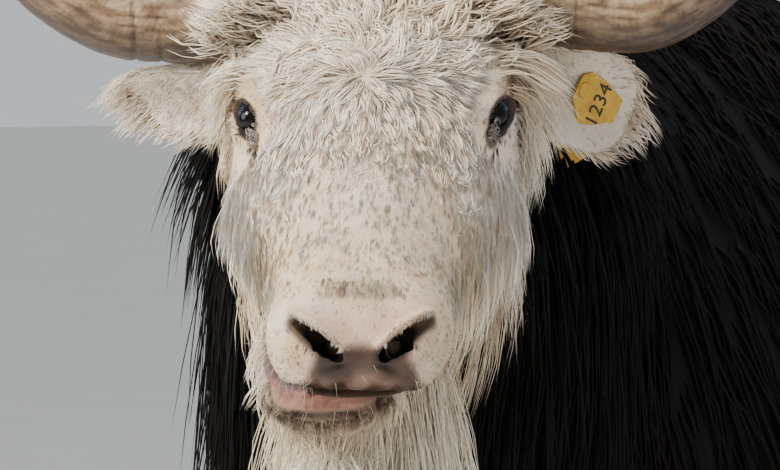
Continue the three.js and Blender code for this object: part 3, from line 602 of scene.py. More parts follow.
# Legs, by height: place along the body, half width and half depth.
FRONT_LEG = Table(
    [
        (705, -398, 0, 0),
        (690, -398, 52, 78),
        (590, -395, 72, 94),
        (480, -398, 62, 74),
        (385, -404, 48, 54),
        (330, -412, 48, 53),
        (275, -405, 39, 42),
        (195, -399, 34, 36),
        (132, -399, 43, 47),
        (96, -411, 39, 43),
        (60, -424, 46, 52),
    ]
)
HIND_LEG = Table(
    [
        (845, 556, 0, 0),
        (825, 552, 74, 120),
        (715, 546, 98, 150),
        (610, 560, 84, 118),
        (525, 592, 62, 84),
        (455, 627, 48, 64),
        (402, 633, 42, 55),
        (330, 621, 36, 42),
        (205, 604, 35, 38),
        (137, 596, 44, 48),
        (98, 583, 40, 43),
        (60, 568, 46, 52),
    ]
)
# Tail, by height: place along the body, half width and half depth.
TAIL = Table(
    [
        (1036, 738, 0, 0),
        (1030, 762, 30, 26),
        (985, 806, 34, 30),
        (900, 832, 36, 32),
        (780, 842, 42, 36),
        (650, 842, 46, 38),
        (530, 838, 34, 28),
        (470, 836, 0, 0),
    ]
)
STEP = {"front_left": -38.0, "front_right": 22.0, "hind_left": 30.0, "hind_right": -28.0}
TRACK = {"front": 142.0, "hind": 158.0}
HOOF_HEIGHT = 62.0

# Lines on the muzzle: face coordinates and a radius. The nostrils' are for the left one.
NOSTRIL = (
    (250, 49, 1.5, 2.8),
    (256, 41, -1, 4.8),
    (260.5, 31.5, -6, 7.0),
    (264, 24, -11.5, 8.0),
    (268, 17, -17, 5.2),
)
NOSTRIL_RIM = (
    (244, 53, 6, 2.4),
    (251, 45, 9, 3.0),
    (257.5, 34, 7, 3.4),
    (264, 23, 1, 3.2),
    (269, 12.5, -6.5, 2.4),
)
NOSTRIL_DEEP = ((262, 34, -14, 5.5), (260, 25, -20, 7.5), (248, 21, -25, 8.0))
MOUTH_LINE = (
    (213, -73, -81, 3.5),
    (240, -67, -66, 4.6),
    (262, -56, -53, 6.2),
    (272, -42, -49.5, 7.0),
    (275, -20, -50.5, 7.0),
    (275, 4, -51.5, 6.6),
    (274, 20, -52, 5.6),
    (268, 38, -54, 4.4),
    (253, 53, -61, 3.6),
    (228, 63, -70, 3.0),
)


def superellipse(a: Array, b: Array, power: float) -> Array:
    """Measure a point against a section, so that 1 is on its line."""
    return np.maximum((np.abs(a) ** power + np.abs(b) ** power) ** (1.0 / power), 0.05)


@dataclass
class HeadForm:
    """The shape of the head without its coat, as distance fields in face coordinates."""

    coat_depth: float = 5.0
    jaw_swing: float = -30.0
    midline: float = 4.0
    muzzle: Sequence[tuple[float, float]] = ((150, 290), (-112, 96), (-125, 30))
    eye_spread: float = 90.0
    eye_front: tuple[float, float] = (12.0, 101.0)
    lid_radius: float = 24.2
    gaze: Place = (0.642, 0.58, 0.501)
    slit: Place = (16.0, 10.2, 14.0)
    creases: Sequence[Place] = ((11.5, 20.4, 1.6), (16.0, 19.0, 1.4), (20.5, 16.5, 1.2))
    aside: dict[int, float] = field(default_factory=lambda: {LEFT: 2.5, RIGHT: -1.0})

    def skull(self, s: Array, u: Array, n: Array) -> Array:
        """Give the distance from the skull and upper jaw.

        Args:
            s: Distance along the nose.
            u: Distance to the left.
            n: Distance out of the face.

        Returns:
            Distances in mm, below 0 inside.
        """
        top, level, bottom, half, jowl, bridge = HEAD.at(s)
        height = np.where(n > level, top - level, level - bottom) + 1e-3
        h = np.clip((n - level) / height, -1.0, 1.0)
        narrow = np.where(h < 0, 1 + jowl * h, 1 - bridge * h * h)
        r = superellipse(u / (half * narrow + 1e-3), (n - level) / height, 2.38)
        rho = np.sqrt(u * u + (n - level) ** 2)
        inset = self.coat_depth * (1.0 - ease(185, 232, s))
        return rho - rho / r + inset + HEAD.beyond(s)

    def jaw(self, s: Array, u: Array, n: Array) -> Array:
        """Give the distance from the lower jaw.

        Args:
            s: Distance along the nose.
            u: Distance to the left.
            n: Distance out of the face.

        Returns:
            Distances in mm, below 0 inside.
        """
        top, level, bottom, half = JAW.at(s)
        v = u - self.jaw_swing * ease(0, 220, s)
        height = np.where(n > level, top - level, level - bottom) + 1e-3
        h = np.clip((n - level) / height, -1.0, 0.0)
        r = superellipse(v / (half * (1 + 0.2 * h) + 1e-3), (n - level) / height, 2.35)
        rho = np.sqrt(v * v + (n - level) ** 2)
        inset = self.coat_depth * (1.0 - ease(185, 232, s))
        return rho - rho / r + inset + JAW.beyond(s)

    def plain(self, s: Array, u: Array, n: Array) -> Array:
        """Give the distance from the head's main form, without its small features."""
        return soft_min(self.skull(s, u, n), self.jaw(s, u, n), 20.0)

    def eye_axes(self, side: int) -> Array:
        """Give the rows along, across and out of the slit between the lids."""
        gaze = unit(np.array([self.gaze[0], side * self.gaze[1], self.gaze[2]]))
        along = unit(np.array([1.0, 0.0, 0.0]) - gaze[0] * gaze)
        return np.stack([along, np.cross(gaze, along), gaze])

    def off_middle(self, u: Array) -> Array:
        """Tell how far places are from the middle line of the muzzle."""
        return np.abs(u - self.midline)

    def eye_seat(self, side: int) -> Array:
        """Give the face coordinates of an eyeball's centre."""
        return np.array([0.0, side * self.eye_spread, 0.0])

    def near_eye(self, face: Array) -> Array:
        """Tell how far places are from the nearer open eye, along the face."""
        s, u, _ = face.T
        ahead, apart = self.eye_front
        return np.minimum(*(np.hypot(s - ahead, u - side * apart) for side in (LEFT, RIGHT)))

    def eye_place(self, face: Array, side: int) -> Array:
        """Read face coordinates as along the slit, outwards across it, and out of the eye."""
        q = (face - self.eye_seat(side)) @ self.eye_axes(side).T
        return q * np.array([1.0, side, 1.0]) - np.array([0.0, self.aside[side], 0.0])

    def eye_point(self, side: int, a: float, c: float, out: float) -> Array:
        """Give the face coordinates of a place that is told as eye_place tells it."""
        along, across, gaze = self.eye_axes(side)
        return self.eye_seat(side) + a * along + side * (c + self.aside[side]) * across + out * gaze

    def mirrored(self, side: int, path: Sequence[tuple[float, ...]]) -> list[tuple[float, ...]]:
        """Set a path that is drawn for the left side of the muzzle on either side of its middle line."""
        return [(s, self.midline + side * v, n, *rest) for s, v, n, *rest in path]

    def hole(self, face: Array) -> Array:
        """Tell how far places are from the line of the nearer nostril, in mm."""
        made = np.full(len(face), 99.0)
        for side in (LEFT, RIGHT):
            line = tube([(s, u, n, 0.0) for s, u, n, _ in self.mirrored(side, NOSTRIL)])
            made = np.minimum(made, line(face[:, 0], face[:, 1], face[:, 2]))
        return made

    def lip(self, reach: float, n: float, radius: float, bumps: float) -> list[tuple[float, ...]]:
        """List the points and radii of an arch of the lower lip.

        Args:
            reach: Half width of the arch.
            n: Its height on the face.
            radius: Its thickness.
            bumps: How much the thickness varies.

        Returns:
            Rows of three face coordinates and a radius.
        """
        made = []
        for k in range(25):
            a = math.radians(-104.0 + 208.0 * k / 24)
            wave = bumps * (math.sin(9.0 * a) + 0.6 * math.sin(17.0 * a + 1.0))
            thick = radius * (1.0 - 0.3 * abs(math.sin(a))) + wave
            across = self.jaw_swing + 0.98 * reach * math.sin(a)
            made.append((200.0 + reach * math.cos(a), across, n + wave, thick))
        return made

    def carve(self) -> tuple[Array, Array]:
        """Build the head's surface with lids, brows, nostrils, lips and folds.

        Returns:
            Vertices in face coordinates, and quads.
        """

        def lines(stops: Sequence[tuple[float, float]], end: float) -> Array:
            """List grid lines from stops, each with the step that starts there, to the end."""
            made: list[float] = []
            for (start, step), stop in zip(stops, [s for s, _ in stops[1:]] + [end]):
                count = max(int(round((stop - start) / step)), 1)
                made.extend(np.linspace(start, stop, count, endpoint=False))
            return np.array([*made, end])

        canvas = Canvas(
            [
                lines([(-205, 7.0), (-32, 2.0), (46, 4.0), (205, 2.2), (228, 1.8)], 290),
                lines([(-132, 3.2), (-116, 2.0), (-62, 2.2), (66, 2.4), (78, 2.0), (116, 3.2)], 132),
                lines([(-226, 7.0), (-112, 2.4), (-90, 1.9), (20, 2.6)], 76),
            ]
        )
        canvas.work(self.skull)
        for side in (LEFT, RIGHT):
            self.carve_eye(canvas, side)
            wing = ellipsoid(self.mirrored(side, [(238, 40, -6, 0)])[0][:3], (22, 14, 13))
            canvas.work(wing, 16.0, self.muzzle)
            canvas.work(tube(self.mirrored(side, NOSTRIL_RIM)), 5.0, self.muzzle)
        self.carve_mouth(canvas)
        return canvas.mesh()

    def carve_eye(self, canvas: Canvas, side: int) -> None:
        """Raise the brow and the lids, and cut the slit, the pit at its inner corner and the creases.

        Args:
            canvas: The block of space with the skull in it.
            side: Which eye.
        """
        u, axes = side * self.eye_spread, self.eye_axes(side)
        near = [(-60, 66), (u - 55, u + 55), (-60, 70)]
        brow = ellipsoid((-26, side * 80, 22), (17, 30, 13))
        canvas.work(brow, 20.0, near)
        lids = ellipsoid((0, u, 0), (self.lid_radius,) * 3)
        canvas.work(lids, 14.0, near)
        slit = ellipsoid(self.eye_point(side, 1.0, 0.0, 25.0), self.slit, axes)
        canvas.work(slit, 2.0, near, cut=True)
        pit = ellipsoid(self.eye_point(side, 20.0, -1.0, 26.4), (9.5, 5.0, 3.2), axes)
        canvas.work(pit, 2.5, near, cut=True)
        for out, rise, radius in self.creases:
            crease = []
            for a in np.radians(np.linspace(150.0, 295.0, 12)):
                place = self.eye_point(side, 1.35 * out * math.cos(a), -out * math.sin(a), rise)
                crease.append((*place, radius))
            canvas.work(tube(crease), 2.5, near, cut=True)
        fold = [(*self.eye_point(side, -11, 4, 21), 2.2), (*self.eye_point(side, -22, 9, 15), 1.2)]
        canvas.work(tube(fold), 2.0, near, cut=True)

    def carve_mouth(self, canvas: Canvas) -> None:
        """Cut the mouth and the nostrils, and join on the jaw with its lips.

        Args:
            canvas: The block of space with the rest of the head in it.
        """
        muzzle = self.muzzle
        canvas.work(tube(MOUTH_LINE), 4.0, muzzle, cut=True)
        for side in (LEFT, RIGHT):
            canvas.work(tube(self.mirrored(side, NOSTRIL)), 2.5, muzzle, cut=True)
            canvas.work(tube(self.mirrored(side, NOSTRIL_DEEP)), 3.0, muzzle, cut=True)
        canvas.work(self.jaw, lambda s, u, n: mix(30.0, 2.0, ease(95, 180, s)))
        canvas.work(tube(self.lip(37.0, -72.5, 7.0, 0.5)), 4.0, muzzle)
        canvas.work(tube(self.lip(46.0, -78.5, 7.0, 0.6)), 2.5, muzzle)
        canvas.work(tube(self.lip(53.0, -92.5, 3.4, 0.3)), 5.0, muzzle, cut=True)
        fold = [(228, -22, 19, 1.6), (231.5, 4, 19.5, 2.4), (227, 31, 18, 1.6)]
        canvas.work(tube(fold), 3.0, muzzle, cut=True)


@dataclass
class BodyForm:
    """The shape of the trunk, neck, legs and tail without their coat, in drawing coordinates."""

    coat_depth: float = 14.0
    leg_depth: float = 5.0
    grid: float = 13.0

    @staticmethod
    def trunk(x: Array, y: Array, z: Array) -> Array:
        """Give the distance from the barrel of the trunk with its hump.

        Args:
            x: Distance to the left.
            y: Distance back.
            z: Height.

        Returns:
            Distances in mm, below 0 inside.
        """
        top, level, bottom, half, peak = TRUNK.at(y)
        height = np.where(z > level, top - level, level - bottom) + 1e-3
        rise = np.clip((z - level) / height, 0.0, 1.0)
        r = superellipse(x / (half * (1 - peak * rise * rise) + 1e-3), (z - level) / height, 2.0)
        rho = np.sqrt(x * x + (z - level) ** 2)
        return rho - rho / r + TRUNK.beyond(y)

    @staticmethod
    def neck(x: Array, y: Array, z: Array) -> Array:
        """Give the distance from the neck, which bends to the left."""
        best: Array | None = None
        for p, q in zip(NECK[:-1], NECK[1:]):
            a, b = np.array(p[:3], float), np.array(q[:3], float)
            run = unit(b - a)
            across = unit(np.cross(UP, run))
            rise = np.cross(run, across)
            t = (x - a[0]) * run[0] + (y - a[1]) * run[1] + (z - a[2]) * run[2]
            span = float(np.linalg.norm(b - a))
            share = np.clip(t / span, 0.0, 1.0)
            over = np.maximum(np.abs(t - share * span) - 18.0, 0.0)
            e = (x - a[0]) * across[0] + (y - a[1]) * across[1] + (z - a[2]) * across[2]
            g = (x - a[0]) * rise[0] + (y - a[1]) * rise[1] + (z - a[2]) * rise[2]
            wide, tall = mix(p[3], q[3], share) + 1e-3, mix(p[4], q[4], share) + 1e-3
            r = superellipse(e / wide, g / tall, 2.0)
            rho = np.sqrt(e * e + g * g)
            d = np.where(rho > 1e-6, rho - rho / r, -wide)
            d = np.where(np.abs(over) > 0, np.sqrt(np.maximum(d, 0) ** 2 + over**2), d)
            best = d if best is None else soft_min(best, d, 12.0)
        return best

    def leg(self, name: str) -> Shape:
        """Make the distance field of one leg, named as its foot is."""
        front, left = name.startswith("front"), name.endswith("left")
        rings = FRONT_LEG if front else HIND_LEG
        x0 = (LEFT if left else RIGHT) * TRACK["front" if front else "hind"]

        def distance(x: Array, y: Array, z: Array) -> Array:
            """Measure from the leg, which ends inside its hoof."""
            ahead, across, along = rings.at(z)
            a, b = x - x0, y - ahead - STEP[name]
            r = superellipse(a / (across + 1e-3), b / (along + 1e-3), 2.0)
            rho = np.sqrt(a * a + b * b)
            return np.maximum(rho - rho / r + self.leg_depth + 0.0 * z, HOOF_HEIGHT - 4.0 - z)

        return distance

    @staticmethod
    def tail(x: Array, y: Array, z: Array) -> Array:
        """Give the distance from the dock of the tail."""
        place, across, deep = TAIL.at(z)
        a, b = x, y - place
        r = superellipse(a / (across + 1e-3), b / (deep + 1e-3), 2.0)
        rho = np.sqrt(a * a + b * b)
        return rho - rho / r + 8.0 + TAIL.beyond(z)

    def plain(self, x: Array, y: Array, z: Array) -> Array:
        """Give the distance from trunk and neck together, under their coat."""
        return soft_min(self.trunk(x, y, z), self.neck(x, y, z), 70.0) + self.coat_depth

    def carve(self) -> tuple[Array, Array]:
        """Build the surface of everything but the head.

        Returns:
            Vertices in drawing coordinates, and quads.
        """
        g = self.grid
        canvas = Canvas([np.arange(-322, 332, g), np.arange(-990, 890, g), np.arange(48, 1300, g)])
        canvas.work(self.trunk)
        canvas.work(self.neck, 70.0, [(-322, 340), (-990, -280), (600, 1300)])
        canvas.value += self.coat_depth
        for name in STEP:
            x0 = (LEFT if name.endswith("left") else RIGHT) * 150.0
            y0 = -400.0 if name.startswith("front") else 590.0
            canvas.work(self.leg(name), 45.0, [(x0 - 150, x0 + 150), (y0 - 230, y0 + 230), (48, 860)])
        canvas.work(self.tail, 18.0, [(-90, 90), (700, 890), (440, 1080)])
        return canvas.mesh()


class Hand(Enum):
    """A side of the animal."""

    LEFT = LEFT
    RIGHT = RIGHT


@dataclass
class EarForm:
    """An ear: a leaf rolled into a cup."""

    bearings: Bearings
    hand: Hand
    seat: Place = (-92.0, 94.0, -22.0)
    turns: dict[Hand, tuple[Sequence[float], Sequence[float]]] = field(
        default_factory=lambda: {
            Hand.LEFT: ((0.72, -0.62, -0.3), (0.4, 0.86, -0.1)),
            Hand.RIGHT: ((0.8, -0.58, -0.12), (0.25, 0.62, -0.72)),
        }
    )
    stations: Table = field(
        default_factory=lambda: Table(
            [
                (-14, 14, 1.5, 5),
                (0, 24, 1.5, 6),
                (30, 39, 1.35, 5),
                (64, 50, 1.15, 4),
                (100, 50, 1.0, 3.6),
                (130, 37, 0.9, 3.2),
                (147, 17, 0.8, 2.6),
                (153, 0, 0.8, 0.4),
            ]
        )
    )

    def __post_init__(self) -> None:
        """Work out the ear's own directions."""
        b, side = self.bearings, self.hand.value
        axes = np.stack([side * b.left, b.forward, UP])
        point, hollow = (np.array(turn) @ axes for turn in self.turns[self.hand])
        self.point = unit(point)
        self.hollow = unit(hollow - hollow.dot(self.point) * self.point)
        width = unit(np.cross(self.point, self.hollow))
        self.width = -width if width[2] < 0 else width
        self.root = b.place(np.array([self.seat[0], side * self.seat[1], self.seat[2]]))

    def own(self, points: Array) -> Array:
        """Read drawing places as along the ear, across it and out of its hollow."""
        d = points - self.root
        return np.stack([d @ self.point, d @ self.width, d @ self.hollow], axis=-1)

    def at(self, d: Array, angle: Array) -> Array:
        """Give places on the ear's surface.

        Args:
            d: Distance from the seat towards the tip.
            angle: Way round the section: 0 is one rim, half a turn the other, and between them the hollow.

        Returns:
            Places in drawing coordinates.
        """
        half, roll, thick = self.stations.at(d)
        arc = np.cos(angle) * roll
        radius, deep = half / roll, np.sin(angle) * thick
        side = radius * np.sin(arc) - deep * np.sin(arc)
        out = radius * (1 - np.cos(arc)) + deep * np.cos(arc)
        spread = side[..., None] * self.width + out[..., None] * self.hollow
        return self.root + d[..., None] * self.point + spread

    def carve(self) -> tuple[Array, Array]:
        """Build the ear's surface.

        Returns:
            Vertices in drawing coordinates, and triangles.
        """
        rings, sides = 34, 44
        t = np.linspace(0.0, 1.0, rings)
        d = -14.0 + 167.0 * (1 - (1 - t) ** 1.35)
        angle = np.linspace(0.0, 2 * math.pi, sides, endpoint=False)
        body = self.at(*np.meshgrid(d, angle, indexing="ij")).reshape(-1, 3)
        vertices = np.concatenate([body, [body[:sides].mean(0), body[-sides:].mean(0)]])
        return vertices, outward(vertices - self.root, capped(rings, sides))


class Part(Enum):
    """Which form a piece of the skin came from."""

    HEAD = 0
    BODY = 1
    EAR = 2


@dataclass(frozen=True)
class Palette:
    """Colours of skin and coat, as linear light."""

    cream: Colour = (0.76, 0.615, 0.44)
    bright: Colour = (0.86, 0.775, 0.65)
    dirt_and_shade: Colour = (0.25, 0.175, 0.10)
    pink: Colour = (0.62, 0.34, 0.26)
    lip: Colour = (0.27, 0.105, 0.072)
    brown: Colour = (0.05, 0.03, 0.018)
    ruddy: Colour = (0.085, 0.026, 0.012)
    gum: Colour = (0.13, 0.075, 0.072)
    black_and_shade: Colour = (0.012, 0.008, 0.006)
    straw: Colour = (0.50, 0.31, 0.15)
    shade_grey: Colour = (0.54, 0.51, 0.455)
    black: Colour = (0.0032, 0.003, 0.003)
    rust: Colour = (0.009, 0.0058, 0.0042)


class Brush:
    """Lays the head's colours over one another at a set of places."""

    def __init__(self, points: Array, face: Array, palette: Palette, bare: bool) -> None:
        """Read the places and start with the cream of the coat.

        Args:
            points: Drawing places.
            face: The same places in face coordinates.
            palette: The colours by name.
            bare: Whether it paints the skin itself, and not hair.
        """
        self.points, self.face, self.bare = points, face, bare
        self.s, self.u, self.n = face.T
        self.paint = {name: np.array(colour) for name, colour in vars(palette).items()}
        self.broad, self.fine = noise(points, 55.0, 3), noise(points, 14.0, 5)
        self.strips = noise(points * np.array([1.0, 1.0, 0.35]), 7.0, 6)
        share = held(0.5 + 0.6 * self.broad + 0.4 * self.fine)
        self.tint = mix(self.paint["cream"], self.paint["bright"], share[:, None])

    def lay(self, name: str, share: Array) -> None:
        """Cover what is there with a share of one colour."""
        self.tint = mix(self.tint, self.paint[name], held(share)[:, None])


@dataclass
class Markings:
    """The colour of skin and hair at each place."""

    bearings: Bearings
    head: HeadForm
    palette: Palette = Palette()

    def head_colour(self, points: Array, bare: bool) -> Array:
        """Colour the white head.

        Args:
            points: Drawing places.
            bare: Whether it is the skin itself, and not hair.

        Returns:
            Linear colours.
        """
        brush = Brush(points, self.bearings.face(points), self.palette, bare)
        for paint in (self.paint_coat, self.paint_eyes, self.paint_nose, self.paint_mouth):
            paint(brush)
        return brush.tint

    def paint_coat(self, brush: Brush) -> None:
        """Lay painted shade on the left side and on the skin under the hair, straw on the brow, dirt with
        painted depth shade on the poll, a darker band on the nose crease, and pink on the snout.

        Args:
            brush: Holds the places and what is painted so far.
        """
        s, u, n = brush.s, brush.u, brush.n
        broad, fine, strips = brush.broad, brush.fine, brush.strips
        # Painted shade: grey laid on the face's left side, which is turned away from the key light.
        brush.lay("shade_grey", 0.3 * ease(10, 110, u) * (0.6 + 0.4 * broad))
        brow = ease(70, -40, s) * ease(95, 40, np.abs(u))
        brush.lay("straw", 0.28 * brow * held(0.3 + 0.9 * broad + 0.6 * strips))
        # Partly the skin's own warm tone, partly painted shade: the skin under the hair is laid darker, so
        # the gaps between hairs read as shadow.
        if brush.bare:
            brush.lay("straw", 0.5 + 0.25 * fine + 0.2 * strips)
        # Dirt and painted depth shade: brown laid over the poll, on the wool and on the skin that shows
        # between its curls.
        brush.lay("dirt_and_shade", 0.42 * ease(-30, -75, s) * held(0.35 + 1.0 * fine + 0.6 * broad))
        brush.lay("cream", 0.6 * ease(-60, -120, n))
        snout = ease(232, 254, s + 0.1 * np.abs(u)) * ease(24, 4, n)
        snout = snout * ease(52, 36, self.head.off_middle(u))
        brush.lay("pink", (0.45 if brush.bare else 0.28) * snout)
        # A darker band of hair along the nose crease.
        crown = ease(30, 14, np.abs(u - 2.0)) * band(s, 214, 224, 228, 238)
        brush.lay("dirt_and_shade", 0.42 * crown * held(0.2 + 1.3 * fine + 0.9 * strips))

    def paint_eyes(self, brush: Brush) -> None:
        """Lay the dark rims and corners of the eyes, and the straw colour round them.

        Args:
            brush: Holds the places and what is painted so far.
        """
        fine, bare = brush.fine, brush.bare
        for side in (LEFT, RIGHT):
            a, c, out = self.head.eye_place(brush.face, side).T
            facing = ease(2, 10, out)
            brow = ((a + 17.0) / 11.0) ** 2 + ((c + 2.0) / 14.0) ** 2
            brush.lay("straw", 0.4 * ease(1.6, 0.3, brow) * facing)
            rim = np.sqrt(((a - 1.0) / 16.4) ** 2 + (c / 10.6) ** 2)
            edge = ease(1.32, 1.12, rim + 0.08 * fine) * facing
            brush.lay("black_and_shade" if bare else "brown", (0.97 if bare else 0.8) * edge)
            around = band(rim, 1.2, 1.4, 1.5, 2.4) * facing
            brush.lay("straw", 0.3 * around * held(0.8 + 0.6 * brush.strips))
            corner = ((a - 20.0) / 12.0) ** 2 + ((c + 1.0) / 7.0) ** 2
            brush.lay("brown", 0.9 * ease(1.5, 0.6, corner + 0.5 * fine) * facing)
            high = ((a + 16.0) / 9.0) ** 2 + ((c - 6.0) / 5.0) ** 2
            brush.lay("brown", 0.9 * ease(1.5, 0.5, high + 0.2 * fine) * facing)

    def paint_nose(self, brush: Brush) -> None:
        """Lay the planum's ruddy brown, a stain on its right, the dark of the nostrils, and painted shade
        inside them.

        Args:
            brush: Holds the places and what is painted so far.
        """
        s, u, n, fine = brush.s, brush.u, brush.n, brush.fine
        middle = self.head.off_middle(u)
        planum = ease(45, 34, middle + 0.35 * (n + 30.0))
        planum = planum * ease(-2, -12, n + 0.1 * middle)
        planum = planum * ease(240, 256, s) * ease(-62, -54, n)
        ruddy = ease(30, 8, np.abs(u - 8.0)) * ease(-48, -30, n)
        brush.lay("ruddy", 0.92 * planum * held(0.95 + 0.3 * fine))
        brush.lay("brown", planum * (1.0 - 0.75 * ruddy) * held(0.7 + 0.4 * fine + 0.3 * brush.broad))
        brush.lay("brown", 0.5 * planum * ease(-36, -26, n + 2.0 * fine))
        brush.lay("black_and_shade", 0.35 * planum * ease(-32, -24, n + 2.0 * fine))
        stain = ((s - 254.0) / 20.0) ** 2 + ((u + 45.0) / 11.0) ** 2 + ((n + 18.0) / 16.0) ** 2
        brush.lay("straw", 0.75 * ease(1.6, 0.3, stain))
        hole = self.head.hole(brush.face)
        brush.lay("brown", 0.92 * ease(12, 6.5, hole + 2.5 * fine))
        # Painted shade: near-black laid inside the nostrils, where the skin sinks below the head's plain
        # form.
        depth = self.head.plain(s, u, n)
        brush.lay("black_and_shade", ease(1, -5, depth) * ease(30, 20, hole))

    def paint_mouth(self, brush: Brush) -> None:
        """Lay the dark upper lip, the lower lip, the gum, painted shade in the gap behind it, painted shadow
        under the lower lip, and the chin.

        Args:
            brush: Holds the places and what is painted so far.
        """
        s, u, n, fine = brush.s, brush.u, brush.n, brush.fine
        shore = tube([(*place, 0.0) for *place, _ in MOUTH_LINE])(s, u, n)
        brush.lay("brown", 0.9 * ease(14, 9, shore + 2.0 * fine) * ease(-66, -30, u))
        brush.lay("brown", 0.8 * ease(10, 7, shore + fine))
        if brush.bare:
            front = ease(186, 200, s)
            lip = front * band(n, -88, -84, -72, -68)
            pores = noise(brush.points, 3.2, 9)
            brush.lay("lip", lip * held(0.9 + 0.25 * fine + 0.1 * pores))
            brush.lay("brown", 0.5 * lip * held(0.1 + 0.9 * pores + 0.5 * fine))
            brush.lay("gum", front * band(n, -77, -74, -66, -60) * ease(246.5, 243, s))
            # Painted shade: near-black laid in the sunken gap under the upper lip.
            deep = ease(-2, -6, self.head.plain(s, u, n)) * ease(18, 14, shore)
            gap = front * band(n, -68, -66, -53, -47) * deep
            brush.lay("black_and_shade", gap * ease(-55, -51, n + 0.8 * pores))
        # Painted shadow: brown laid in the crease under the lower lip.
        below = band(n, -112, -96, -88, -84) * ease(200, 225, s)
        brush.lay("brown", 0.85 * below * ease(58, 40, np.abs(u - self.head.jaw_swing)))
        # Browner hair under the chin.
        chin = ease(200, 236, s) * ease(-92, -102, n)
        brush.lay("dirt_and_shade", 0.6 * chin * held(0.7 + 0.7 * fine))

    def body_colour(self, points: Array) -> Array:
        """Colour the black body, a little rusty where the sun bleaches it."""
        share = held(0.35 + 0.5 * noise(points, 120.0, 21))[:, None]
        return mix(np.array(self.palette.black), np.array(self.palette.rust), share * 0.6)

    def ear_colour(self, points: Array) -> Array:
        """Colour the ears white with a little straw."""
        share = held(0.5 + 0.6 * noise(points, 22.0, 31))[:, None]
        return mix(np.array(self.palette.bright), np.array(self.palette.straw), share * 0.3)


class Ink:
    """Builds the nodes of one material."""

    def __init__(self, name: str) -> None:
        """Start a material with a bare surface shader.

        Args:
            name: The material's name.
        """
        self.material = bpy.data.materials.new(name)
        self.material.use_nodes = True
        self.tree = self.material.node_tree
        self.shader = self.tree.nodes["Principled BSDF"]

    def node(self, kind: str, links: dict | None = None, **settings: object) -> bpy.types.Node:
        """Add a node.

        Args:
            kind: Its type's name.
            links: Input name or number to a value, or to another node's output.
            **settings: Properties of the node.

        Returns:
            The node.
        """
        made = self.tree.nodes.new(kind)
        for key, value in settings.items():
            setattr(made, key, value)
        for key, value in (links or {}).items():
            self.feed(made.inputs[key], value)
        return made

    def feed(self, socket: bpy.types.NodeSocket, value: object) -> None:
        """Give a socket a value, or link another node's output to it."""
        if isinstance(value, bpy.types.NodeSocket):
            self.tree.links.new(value, socket)
        else:
            socket.default_value = value

    def set(self, **values: object) -> None:
        """Set the shader's sockets, with underscores for spaces in their names."""
        for key, value in values.items():
            self.feed(self.shader.inputs[key.replace("_", " ")], value)

    def read(self, name: str) -> bpy.types.NodeSocket:
        """Read a colour that is stored at the vertices."""
        return self.node("ShaderNodeAttribute", attribute_name=name).outputs["Color"]

    def own(self) -> bpy.types.NodeSocket:
        """Read the object's own coordinates."""
        return self.node("ShaderNodeTexCoord").outputs["Object"]

    def grain(self, scale: float, detail: float = 4.0) -> bpy.types.NodeSocket:
        """Make a noise pattern on the object's own coordinates."""
        links = {"Vector": self.own(), "Scale": scale, "Detail": detail}
        return self.node("ShaderNodeTexNoise", links).outputs["Fac"]

    def ramp(self, fac: bpy.types.NodeSocket, stops: Sequence[tuple]) -> bpy.types.NodeSocket:
        """Turn a number into a colour through stops."""
        node = self.node("ShaderNodeValToRGB", {"Fac": fac})
        steps = node.color_ramp.elements
        while len(steps) < len(stops):
            steps.new(0.5)
        for step, (place, colour) in zip(steps, stops):
            step.position = place
            step.color = (*colour, 1.0)
        return node.outputs["Color"]

    def blend(self, a: object, b: object, fac: object, kind: str = "MIX") -> bpy.types.NodeSocket:
        """Mix two colours."""
        node = self.node("ShaderNodeMix", data_type="RGBA", blend_type=kind)
        for number, value in ((0, fac), (6, a), (7, b)):
            self.feed(node.inputs[number], value)
        return node.outputs[2]

    def bump(self, height: bpy.types.NodeSocket, strength: float, distance: float) -> None:
        """Roughen the surface by a height pattern."""
        made = self.node("ShaderNodeBump", {"Height": height, "Strength": strength, "Distance": distance})
        self.set(Normal=made.outputs["Normal"])


@dataclass(frozen=True)
class GrainFinish:
    """A finish whose colour runs through stops by a grain."""

    name: str
    stops: tuple[tuple[float, Colour], ...]
    roughness: float
    scale: float = 400.0
    detail: float = 4.0
    specular: float = 0.5
    coat: float = 0.0
    bump: tuple[float, float, float] | None = None

    def build(self) -> bpy.types.Material:
        """Make the material."""
        ink = Ink(self.name)
        tone = ink.ramp(ink.grain(self.scale, self.detail), self.stops)
        ink.set(Base_Color=tone, Roughness=self.roughness)
        ink.set(Specular_IOR_Level=self.specular, Coat_Weight=self.coat)
        if self.bump:
            scale, strength, distance = self.bump
            ink.bump(ink.grain(scale), strength, distance)
        return ink.material


def plain(name: str, colour: Colour, roughness: float) -> GrainFinish:
    """Describe a finish of one colour with a slight grain."""
    return GrainFinish(name, ((0.3, tuple(0.6 * c for c in colour)), (0.7, colour)), roughness)


